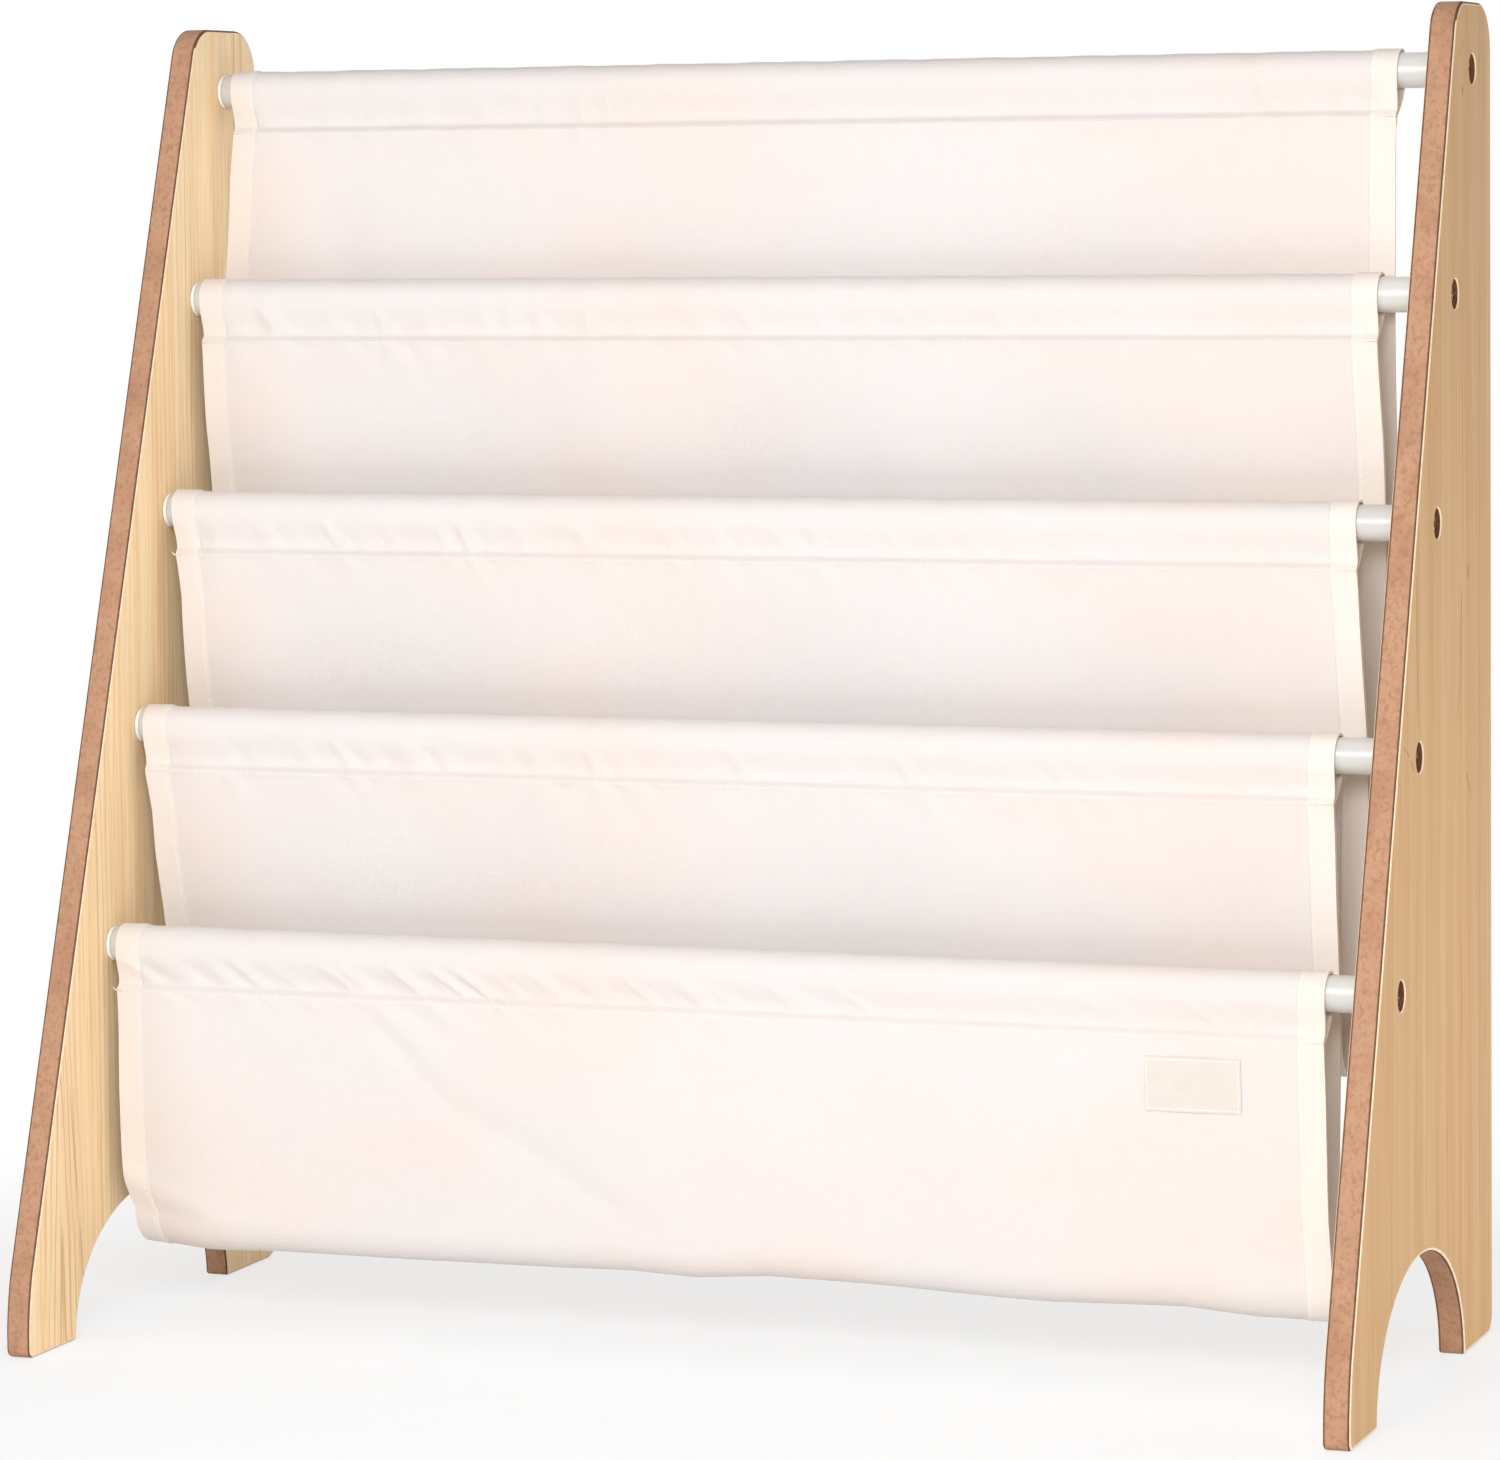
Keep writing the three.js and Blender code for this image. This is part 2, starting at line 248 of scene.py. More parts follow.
def drum(
    radius: float, ends: tuple[float, float], middle: tuple[float, float], sides: int
) -> bpy.types.Object:
    """Add a cylinder that lies along X.

    Args:
        radius: its radius.
        ends: where it starts and ends along X.
        middle: the Y and Z of its axis.
        sides: how many sides go round it.

    Returns:
        The cylinder, with its object at the origin.
    """
    bpy.ops.mesh.primitive_cylinder_add(
        vertices=sides,
        radius=radius,
        depth=abs(ends[1] - ends[0]),
        location=(sum(ends) / 2, *middle),
        rotation=(0, math.pi / 2, 0),
    )
    return settle(bpy.context.object)


def turned(name: str, profile: Sequence[tuple[float, float]], sides: int) -> bpy.types.Object:
    """Draw half a section point by point and spin it round the X axis, as on a lathe.

    Args:
        name: the new piece's name.
        profile: X and radius of each point; a ring's section comes back to its first point.
        sides: how many steps go round.

    Returns:
        The turned piece, with its axis on the X axis.
    """
    start = profile[0]
    bpy.ops.mesh.primitive_plane_add(size=MM, location=(start[0], 0, start[1]))
    piece = settle(bpy.context.object)
    piece.name = name
    with editing(piece):
        # An earlier cut leaves face mode on, in which a lone point is never selected or extruded.
        bpy.ops.mesh.select_mode(type="VERT")
        bpy.ops.mesh.select_all(action="SELECT")
        bpy.ops.mesh.merge(type="CENTER")
        for before, after in zip(profile, profile[1:]):
            step = (after[0] - before[0], 0, after[1] - before[1])
            bpy.ops.mesh.extrude_vertices_move(TRANSFORM_OT_translate={"value": step})
        bpy.ops.mesh.select_all(action="SELECT")
        bpy.ops.mesh.spin(steps=sides, angle=2 * math.pi, center=(0, 0, 0), axis=(1, 0, 0))
    tidy_normals(piece)
    return piece


def copied(source: bpy.types.Object, name: str, change: Matrix) -> bpy.types.Object:
    """Copy a piece with its own mesh, and move the mesh.

    Args:
        source: the piece that was modelled once.
        name: the copy's name.
        change: the move, turn or mirroring of the copy.

    Returns:
        The copy, with its object at the origin.
    """
    copy = source.copy()
    copy.data = source.data.copy()
    copy.name = name
    copy.data.name = name
    bpy.context.scene.collection.objects.link(copy)
    copy.data.transform(change)
    if change.determinant() < 0:
        copy.data.flip_normals()
    copy.data.update()
    return copy


def dress(obj: bpy.types.Object, slot: Slot, *nodes: str) -> bpy.types.Object:
    """Make a finished piece ride on the rack and say which CAD nodes it stands for.

    Args:
        obj: the finished piece.
        slot: not used.
        nodes: the CAD nodes that it stands for, if any.

    Returns:
        The same piece.
    """
    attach(obj, BODY)
    if nodes:
        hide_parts(*nodes)
    triangles = sum(len(face.vertices) - 2 for face in obj.data.polygons)
    log.info("%-22s %7d triangles, stands for %s", obj.name, triangles, ", ".join(nodes) or "no node")
    return obj


def paint(obj: bpy.types.Object, *materials: bpy.types.Material) -> None:
    """Give an object its materials, in the order of their face numbers.

    Args:
        obj: the object to paint.
        materials: its materials.
    """
    obj.data.materials.clear()
    for material in materials:
        obj.data.materials.append(material)


# Finishes


class Signal:
    """A number that varies over a surface; arithmetic on it adds Math nodes to its paint."""

    def __init__(self, mix: "Paint", socket: bpy.types.NodeSocket) -> None:
        """Wrap one output of a node."""
        self.mix = mix
        self.socket = socket

    def __add__(self, other: "Signal | float") -> "Signal":
        """Add."""
        return self.mix.math("ADD", self, other)

    __radd__ = __add__

    def __sub__(self, other: "Signal | float") -> "Signal":
        """Take away."""
        return self.mix.math("SUBTRACT", self, other)

    def __rsub__(self, other: "Signal | float") -> "Signal":
        """Be taken away from a number."""
        return self.mix.math("SUBTRACT", other, self)

    def __mul__(self, other: "Signal | float") -> "Signal":
        """Multiply."""
        return self.mix.math("MULTIPLY", self, other)

    __rmul__ = __mul__

    def __pow__(self, other: "Signal | float") -> "Signal":
        """Raise to a power; the number is zero or more."""
        return self.mix.math("POWER", self, other)

    def __neg__(self) -> "Signal":
        """Change the sign."""
        return self * -1.0

    def __abs__(self) -> "Signal":
        """Drop the sign."""
        return self.mix.math("ABSOLUTE", self)


class Paint:
    """One procedural material, and the calls that add nodes to it."""

    def __init__(self, name: str, roughness: float, metallic: float = 0.0, **fixed: float) -> None:
        """Make the material with its shader.

        Args:
            name: the material's name.
            roughness: the shader's even roughness, which a signal may replace.
            metallic: the shader's even metalness.
            fixed: other even values of the shader by socket name, with _ for a space.
        """
        self.material = bpy.data.materials.new(name)
        self.material.use_nodes = True
        self.tree = self.material.node_tree
        self.tree.nodes.clear()
        even = {"Roughness": roughness, "Metallic": metallic}
        even.update({key.replace("_", " "): value for key, value in fixed.items()})
        self.shader = self.node("ShaderNodeBsdfPrincipled", inputs=even)
        self.output = self.node("ShaderNodeOutputMaterial", inputs={"Surface": self.shader.outputs[0]})
        self.coordinates = self.node("ShaderNodeTexCoord")

    def node(self, kind: str, settings: dict | None = None, inputs: dict | None = None) -> bpy.types.Node:
        """Add one node.

        Args:
            kind: the node's type.
            settings: its properties, set first; stops are a ramp's places and colours.
            inputs: its sockets' values, signals or links, by name or number.

        Returns:
            The new node.
        """
        made = self.tree.nodes.new(kind)
        for name, value in (settings or {}).items():
            if name == "stops":
                for stop, (place, colour) in zip(made.color_ramp.elements, value):
                    stop.position = place
                    stop.color = colour
            else:
                setattr(made, name, value)
        for key, value in (inputs or {}).items():
            value = value.socket if isinstance(value, Signal) else value
            if isinstance(value, bpy.types.NodeSocket):
                self.tree.links.new(value, made.inputs[key])
            else:
                made.inputs[key].default_value = value
        return made

    def math(self, operation: str, first: Signal | float, second: Signal | float = 0.0) -> Signal:
        """Add one Math node and wrap its result."""
        made = self.node("ShaderNodeMath", {"operation": operation}, {0: first, 1: second})
        return Signal(self, made.outputs[0])

    def parts(self, vector: bpy.types.NodeSocket) -> tuple[Signal, Signal, Signal]:
        """Split a vector into its three numbers."""
        made = self.node("ShaderNodeSeparateXYZ", inputs={0: vector})
        return tuple(Signal(self, output) for output in made.outputs)

    def joined(self, *numbers: Signal | float) -> bpy.types.NodeSocket:
        """Put three numbers together as a vector."""
        return self.node("ShaderNodeCombineXYZ", inputs=dict(enumerate(numbers))).outputs[0]

    def stretched(
        self, vector: bpy.types.NodeSocket, scale: tuple[float, float, float]
    ) -> bpy.types.NodeSocket:
        """Scale a vector by a different number along each axis."""
        return self.node("ShaderNodeVectorMath", {"operation": "MULTIPLY"}, {0: vector, 1: scale}).outputs[0]

    def noise(
        self, vector: bpy.types.NodeSocket, scale: float, detail: float = 2.0, rough: float = 0.5
    ) -> Signal:
        """Read a cloudy pattern, 0 to 1, that has scale lumps a metre."""
        inputs = {"Vector": vector, "Scale": scale, "Detail": detail, "Roughness": rough}
        return Signal(self, self.node("ShaderNodeTexNoise", inputs=inputs).outputs[0])

    def eased(self, number: Signal, low: float, high: float) -> Signal:
        """Rise smoothly from 0 at low to 1 at high.

        Args:
            number: what the rise follows.
            low: where it starts, which may be the larger.
            high: where it ends.

        Returns:
            The eased number.
        """
        inputs = {"Value": number, "From Min": low, "From Max": high}
        made = self.node("ShaderNodeMapRange", {"interpolation_type": "SMOOTHSTEP"}, inputs)
        return Signal(self, made.outputs[0])

    def line(self, number: Signal, middle: float, width: float) -> Signal:
        """Be 1 where a number is middle, and fall away on both sides within width."""
        apart = (number - middle) * (1 / width)
        return self.math("EXPONENT", -(apart * apart))

    def blend(
        self, first: Colour | bpy.types.NodeSocket, second: Colour | bpy.types.NodeSocket, share: Signal
    ) -> bpy.types.NodeSocket:
        """Mix two colours by a share of the second."""
        made = self.node("ShaderNodeMix", {"data_type": "RGBA"}, {0: share, 6: first, 7: second})
        return made.outputs[2]

    def colour(self, colour: bpy.types.NodeSocket) -> None:
        """Feed the shader's base colour."""
        self.tree.links.new(colour, self.shader.inputs["Base Color"])

    def roughness(self, rough: Signal) -> None:
        """Feed the shader's roughness."""
        self.tree.links.new(rough.socket, self.shader.inputs["Roughness"])

    def bump(self, height: Signal, depth: float, strength: float = 1.0) -> None:
        """Feed the shader's normal from a height of 0 to 1 that stands for a depth."""
        made = self.node("ShaderNodeBump", inputs={"Strength": strength, "Distance": depth, "Height": height})
        self.tree.links.new(made.outputs[0], self.shader.inputs["Normal"])

    def laid_over(self, share: Signal | float, other: bpy.types.Node) -> None:
        """Let another shader stand in for a share of this one.

        Args:
            share: how much of the other shader shows, 0 to 1.
            other: the other shader's node.
        """
        inputs = {0: share, 1: self.shader.outputs[0], 2: other.outputs[0]}
        mixed = self.node("ShaderNodeMixShader", inputs=inputs)
        self.tree.links.new(mixed.outputs[0], self.output.inputs["Surface"])

    @property
    def place(self) -> bpy.types.NodeSocket:
        """The place on the piece, in metres."""
        return self.coordinates.outputs["Object"]

    @property
    def cloth_place(self) -> bpy.types.NodeSocket:
        """The place on the flat cloth, in metres across and along it."""
        return self.coordinates.outputs["UV"]


@dataclass(frozen=True)
class MapleFace:
    """The boards' laminate face: pale maple with fine upright grain and one pointed loop in it."""

    name: str
    pale: Colour
    warm: Colour
    loop_y: float
    loop_top: float
    loop_width: float
    loop_length: float
    loop_share: float
    marks: tuple[tuple[float, float, float], ...] = ()
    strokes: tuple[tuple[float, float, float, float, float], ...] = ()
    grain_colour: Colour = shade_of(190, 134, 82)
    mark_colour: Colour = shade_of(132, 78, 40)
    ring_pitch: float = 5.2 * MM

    def material(self) -> bpy.types.Material:
        """Build the face's material.

        Returns:
            The new material.
        """
        mix = Paint(self.name, roughness=0.55, Specular_IOR_Level=0.14)
        place = mix.place
        _, across, up = mix.parts(place)
        wander = (mix.noise(mix.stretched(place, (1.0, 1.6, 0.5)), 9.0, 2.0) - 0.5) * (9 * MM)
        wander = wander + (mix.noise(mix.stretched(place, (1.0, 1.0, 0.6)), 46.0, 2.0) - 0.5) * (1.6 * MM)
        grain_y = across + wander
        grain = mix.joined(0.0, grain_y, up)
        bands = mix.noise(mix.stretched(grain, (1.0, 58.0, 1.1)), 1.0, 4.0, 0.6)
        streaks = mix.noise(mix.stretched(grain, (1.0, 240.0, 4.0)), 1.0, 4.0, 0.65)
        hairs = mix.noise(mix.stretched(grain, (1.0, 820.0, 16.0)), 1.0, 3.0, 0.7)
        rings = self._rings(mix, grain, grain_y)
        colour = mix.blend(self.pale, self.warm, mix.eased(bands, 0.36, 0.64) * 0.8)
        colour = mix.blend(colour, self.grain_colour, mix.eased(streaks, 0.48, 0.7) * 0.26)
        colour = mix.blend(colour, self.grain_colour, mix.eased(hairs, 0.52, 0.7) * 0.3)
        colour = mix.blend(colour, self.grain_colour, rings * 0.62)
        loops = self._loop(mix, grain_y, up)
        colour = mix.blend(colour, self.grain_colour, loops * self.loop_share)
        for dark in (self._marks(mix, across, up), self._strokes(mix, across, up)):
            if dark is not None:
                colour = mix.blend(colour, self.mark_colour, dark)
        mix.colour(colour)
        mix.roughness(0.52 + streaks * 0.1 + loops * 0.04)
        mix.bump(hairs * 0.6 + streaks * 0.4, 0.05 * MM, 0.5)
        return mix.material

    def _rings(self, mix: Paint, grain: bpy.types.NodeSocket, across: Signal) -> Signal:
        """Draw the long thin wavy lines where the growth rings meet the face.

        Args:
            mix: the face's paint.
            grain: the place on the face, moved as the grain wanders.
            across: the Y of that place.

        Returns:
            1 on a line and 0 between the lines.
        """
        bowed = mix.noise(mix.stretched(grain, (1.0, 17.0, 1.7)), 1.0, 3.0, 0.55) * 5.0
        phase = (across * (1 / self.ring_pitch) + bowed) * math.pi
        sharp = (1.0 - abs(mix.math("SINE", phase))) ** 6.0
        strength = mix.noise(mix.stretched(grain, (1.0, 70.0, 3.0)), 1.0, 2.0, 0.5)
        return sharp * mix.eased(strength, 0.38, 0.66)

    def _strokes(self, mix: Paint, across: Signal, up: Signal) -> Signal | None:
        """Draw the few darker lines, each as the Y and Z of its lower and upper end, and its strength.

        Args:
            mix: the face's paint.
            across: the Y on the face.
            up: the Z on the face.

        Returns:
            How dark each place is, or None where there is no line.
        """
        dark = None
        shake = mix.noise(mix.stretched(mix.place, (1.0, 20.0, 20.0)), 1.0, 2.0) - 0.5
        shaken = across + shake * (2.4 * MM)
        for low_y, low, high_y, high, strength in self.strokes:
            slope, fade = (high_y - low_y) / (high - low), min(20 * MM, (high - low) / 4)
            ends = mix.eased(up, low, low + fade) * mix.eased(up, high, high - fade)
            line = mix.line(shaken - (up - low) * slope, low_y, 0.75 * MM) * ends * strength
            dark = line if dark is None else mix.math("MAXIMUM", dark, line)
        return dark

    def _loop(self, mix: Paint, across: Signal, up: Signal) -> Signal:
        """Draw the nested pointed loops of the board's heart.

        Args:
            mix: the face's paint.
            across: the Y on the face, moved as the grain wanders.
            up: the Z on the face.

        Returns:
            1 on a loop and 0 between the loops.
        """
        side = (across - self.loop_y) * (1 / self.loop_width)
        bowed = mix.math("SQRT", side * side + 0.05)
        climb = (self.loop_top - up) * (1 / self.loop_length)
        waver = mix.noise(mix.stretched(mix.place, (1.0, 60.0, 9.0)), 1.0, 3.0) * 0.5
        turn = (bowed - climb + waver) * (2 * math.pi * 1.35)
        lines = (mix.math("SINE", turn) * 0.5 + 0.5) ** 7.0
        inside = mix.line(side, 0.0, 2.6)
        return lines * inside * mix.eased(up, self.loop_top + 0.02, self.loop_top - 0.03)

    def _marks(self, mix: Paint, across: Signal, up: Signal) -> Signal | None:
        """Draw the small dark marks, each given as its Y, its Z and its size.

        Args:
            mix: the face's paint.
            across: the Y on the face.
            up: the Z on the face.

        Returns:
            How dark each place is, or None where there is no mark.
        """
        dark = None
        for mark_y, mark_z, size in self.marks:
            spot = mix.line(across, mark_y, size) * mix.line(up, mark_z, size * 2.4) * 0.75
            dark = spot if dark is None else mix.math("MAXIMUM", dark, spot)
        return dark


@dataclass(frozen=True)
class CutEdge:
    """The boards' bare cut edge: brown fibre with a dark line along each corner."""

    fibre: Colour = shade_of(189, 146, 116)
    shadow: Colour = shade_of(156, 110, 84)
    speck: Colour = shade_of(134, 89, 64)
    corner_dark: Colour = shade_of(88, 56, 40)
    middle: float = 0.305
    half: float = 6 * MM

    def material(self) -> bpy.types.Material:
        """Build the edge's material.

        Returns:
            The new material.
        """
        mix = Paint("cut_fibre_edge", roughness=0.78, Specular_IOR_Level=0.16)
        place = mix.place
        across, _, _ = mix.parts(place)
        out = abs(abs(across) - self.middle)
        cloud = mix.noise(place, 55.0, 3.0, 0.6)
        clumps = mix.noise(mix.stretched(place, (1.0, 1.0, 0.8)), 460.0, 3.0, 0.65)
        fluff = mix.noise(place, 1100.0, 3.0, 0.7)
        pores = mix.noise(place, 2600.0, 2.0, 0.6)
        colour = mix.blend(self.fibre, self.shadow, mix.eased(cloud, 0.4, 0.7) * 0.4)
        colour = mix.blend(colour, self.shadow, mix.eased(clumps, 0.46, 0.66) * 0.5)
        colour = mix.blend(colour, self.speck, mix.eased(fluff, 0.56, 0.74) * 0.4)
        colour = mix.blend(colour, self.speck, mix.eased(pores, 0.6, 0.74) * 0.42)
        waver = (clumps - 0.5) * (0.25 * MM)
        # A dark line runs along each corner of the edge.
        edge = mix.eased(out + waver, self.half - 1.45 * MM, self.half - 0.95 * MM)
        colour = mix.blend(colour, self.corner_dark, edge * 0.85)
        mix.colour(colour)
        mix.roughness(0.7 + fluff * 0.16)
        mix.bump(clumps * 0.4 + fluff * 0.3 + pores * 0.3, 0.14 * MM, 0.6)
        return mix.material


@dataclass(frozen=True)
class BoredFibre:
    """The counterbores' drilled walls, painted dark as the shade inside them, or their eased rim where the
    pale face sheet is cut through, painted paler than the face partly as a highlight.
    """

    name: str
    fibre: Colour
    shadow: Colour

    def material(self) -> bpy.types.Material:
        """Build the material.

        Returns:
            The new material.
        """
        mix = Paint(self.name, roughness=0.8, Specular_IOR_Level=0.12)
        rings = mix.noise(mix.stretched(mix.place, (2600.0, 300.0, 300.0)), 1.0, 2.0, 0.6)
        fluff = mix.noise(mix.place, 1500.0, 3.0, 0.7)
        mix.colour(mix.blend(self.fibre, self.shadow, mix.eased(rings * 0.5 + fluff * 0.5, 0.42, 0.62)))
        mix.roughness(0.72 + fluff * 0.16)
        mix.bump(fluff * 0.5 + rings * 0.5, 0.1 * MM, 0.6)
        return mix.material


@dataclass(frozen=True)
class WhiteCoat:
    """The rods' satin white powder coating, with a faint orange peel."""

    white: Colour = shade_of(206, 207, 206)
    cool: Colour = shade_of(197, 199, 199)

    def material(self) -> bpy.types.Material:
        """Build the coating's material.

        Returns:
            The new material.
        """
        mix = Paint("satin_white_coating", roughness=0.34, Coat_Weight=0.25, Coat_Roughness=0.22)
        place = mix.place
        cloud = mix.noise(mix.stretched(place, (0.25, 1.0, 1.0)), 60.0, 3.0)
        peel = mix.noise(place, 1400.0, 2.0, 0.5)
        rub = mix.noise(mix.stretched(place, (0.2, 1.0, 1.0)), 420.0, 3.0)
        mix.colour(mix.blend(self.white, self.cool, mix.eased(cloud, 0.35, 0.7)))
        mix.roughness(0.3 + rub * 0.12)
        mix.bump(peel, 0.02 * MM, 0.4)
        return mix.material


@dataclass(frozen=True)
class MouldedWhite:
    """The end plugs' moulded white plastic."""

    white: Colour = shade_of(234, 235, 234)
    scuffed: Colour = shade_of(220, 220, 216)

    def material(self) -> bpy.types.Material:
        """Build the plastic's material.

        Returns:
            The new material.
        """
        mix = Paint("moulded_white_plastic", roughness=0.48, Specular_IOR_Level=0.42)
        place = mix.place
        cloud = mix.noise(place, 220.0, 3.0)
        fine = mix.noise(place, 2400.0, 2.0)
        mix.colour(mix.blend(self.white, self.scuffed, mix.eased(cloud, 0.45, 0.75) * 0.7))
        mix.roughness(0.42 + cloud * 0.14)
        mix.bump(fine, 0.015 * MM, 0.4)
        return mix.material


@dataclass(frozen=True)
class BronzePlate:
    """The screws' bronze plating, painted dark as the shade in the counterbores, with brighter patches at
    random painted as glints.
    """

    dark: Colour = shade_of(66, 44, 31)
    glint_patch: Colour = shade_of(214, 180, 138)

    def material(self) -> bpy.types.Material:
        """Build the plating's material.

        Returns:
            The new material.
        """
        mix = Paint("dark_bronze_plating", roughness=0.3, metallic=0.92)
        place = mix.place
        cloud = mix.noise(place, 460.0, 3.0, 0.6)
        scratch = mix.noise(mix.stretched(place, (1.0, 1.0, 0.12)), 2600.0, 2.0)
        # Brighter patches at random are painted glints, on a ground painted dark as the shade in the
        # counterbores.
        glint_share = mix.eased(cloud * 0.7 + scratch * 0.3, 0.44, 0.56)
        mix.colour(mix.blend(self.dark, self.glint_patch, glint_share * 0.85))
        mix.roughness(0.12 + scratch * 0.2)
        mix.bump(scratch, 0.02 * MM, 0.4)
        return mix.material


@dataclass(frozen=True)
class SlingWeave:
    """The sling's fine plain weave in warm white, denser in the hems along its two ends."""

    name: str = "plain_weave_cloth"
    width: float = 0.573
    hem: float = 12 * MM
    yarn: float = 0.85 * MM
    white: Colour = shade_of(234, 228, 226)
    rosy: Colour = shade_of(238, 226, 220)
    hem_tone: Colour = shade_of(245, 237, 229)
    hollow: Colour = shade_of(238, 222, 213)
    thin: float = 0.12
    thin_tone: Colour = shade_of(255, 250, 245)
    seam: float = 1.8 * MM

    def material(self) -> bpy.types.Material:
        """Build the cloth's material.

        Returns:
            The new material.
        """
        mix = Paint(self.name, roughness=0.86, Specular_IOR_Level=0.2, Sheen_Weight=0.08, Sheen_Roughness=0.5)
        flat = mix.cloth_place
        across, along, _ = mix.parts(flat)
        cloud = mix.noise(mix.stretched(flat, (1.0, 1.7, 1.0)), 7.0, 3.0)
        slub_across = mix.noise(mix.stretched(flat, (26.0, 1150.0, 1.0)), 1.0, 2.0, 0.6)
        slub_along = mix.noise(mix.stretched(flat, (1150.0, 26.0, 1.0)), 1.0, 2.0, 0.6)
        crumple = mix.noise(mix.stretched(flat, (1.0, 0.8, 1.0)), 115.0, 4.0, 0.55)
        turns = 2 * math.pi / self.yarn
        weave = mix.math("SINE", across * turns) * mix.math("SINE", along * turns)
        from_end = mix.math("MINIMUM", across, self.width - across)
        in_hem = mix.eased(from_end, self.hem + 0.3 * MM, self.hem - 0.3 * MM)
        hem_line = mix.line(from_end, self.hem, 0.5 * MM)
        colour = mix.blend(self.white, self.rosy, mix.eased(cloud, 0.36, 0.66))
        slubs = mix.eased(slub_across, 0.58, 0.8) + mix.eased(slub_along, 0.6, 0.82)
        colour = mix.blend(colour, self.hollow, slubs * 0.16)
        colour = mix.blend(colour, self.hem_tone, in_hem * 0.5)
        colour = mix.blend(colour, self.white, hem_line * 0.5)
        mix.colour(colour)
        mix.roughness(0.82 + slub_across * 0.1)
        mix.bump(weave * 0.14 + slubs * 0.25 + crumple * 0.9, 0.32 * MM, 0.7)
        sewn = mix.math("MAXIMUM", in_hem, mix.eased(along, self.seam, self.seam - 0.6 * MM))
        glow = mix.node("ShaderNodeBsdfTranslucent", inputs={"Color": self.thin_tone})
        mix.laid_over(self.thin * (1.0 - sewn * 0.22), glow)
        return mix.material


@dataclass(frozen=True)
class SewingThread:
    """The seams' twisted thread, a little yellower than the cloth."""

    thread: Colour = shade_of(249, 243, 234)
    groove: Colour = shade_of(236, 226, 213)

    def material(self) -> bpy.types.Material:
        """Build the thread's material.

        Returns:
            The new material.
        """
        mix = Paint("sewing_thread", roughness=0.7, Specular_IOR_Level=0.25)
        across, ahead, up = mix.parts(mix.place)
        twist = mix.math("SINE", (across * 0.9 + up + ahead * 0.4) * (2 * math.pi / (0.7 * MM))) * 0.5 + 0.5
        mix.colour(mix.blend(self.thread, self.groove, twist * 0.4))
        mix.roughness(0.62 + twist * 0.12)
        mix.bump(twist, 0.04 * MM, 0.6)
        return mix.material


@dataclass(frozen=True)
class LabelTape:
    """The label's cream woven tape, bare of any words."""

    cream: Colour = shade_of(222, 213, 206)
    weft: Colour = shade_of(209, 201, 191)
    yarn: float = 0.5 * MM

    def material(self) -> bpy.types.Material:
        """Build the tape's material.

        Returns:
            The new material.
        """
        mix = Paint("cream_label_tape", roughness=0.74, Specular_IOR_Level=0.25)
        flat = mix.cloth_place
        across, along, _ = mix.parts(flat)
        turns = 2 * math.pi / self.yarn
        ribs = mix.math("SINE", along * turns) * 0.5 + 0.5
        twill = mix.math("SINE", (across + along) * (turns * 0.5)) * 0.5 + 0.5
        cloud = mix.noise(flat, 120.0, 3.0)
        darker = ribs * 0.22 + twill * 0.12 + mix.eased(cloud, 0.4, 0.7) * 0.25
        mix.colour(mix.blend(self.cream, self.weft, darker))
        mix.roughness(0.68 + ribs * 0.1)
        mix.bump(ribs * 0.6 + twill * 0.4, 0.08 * MM, 0.6)
        return mix.material


# The frame


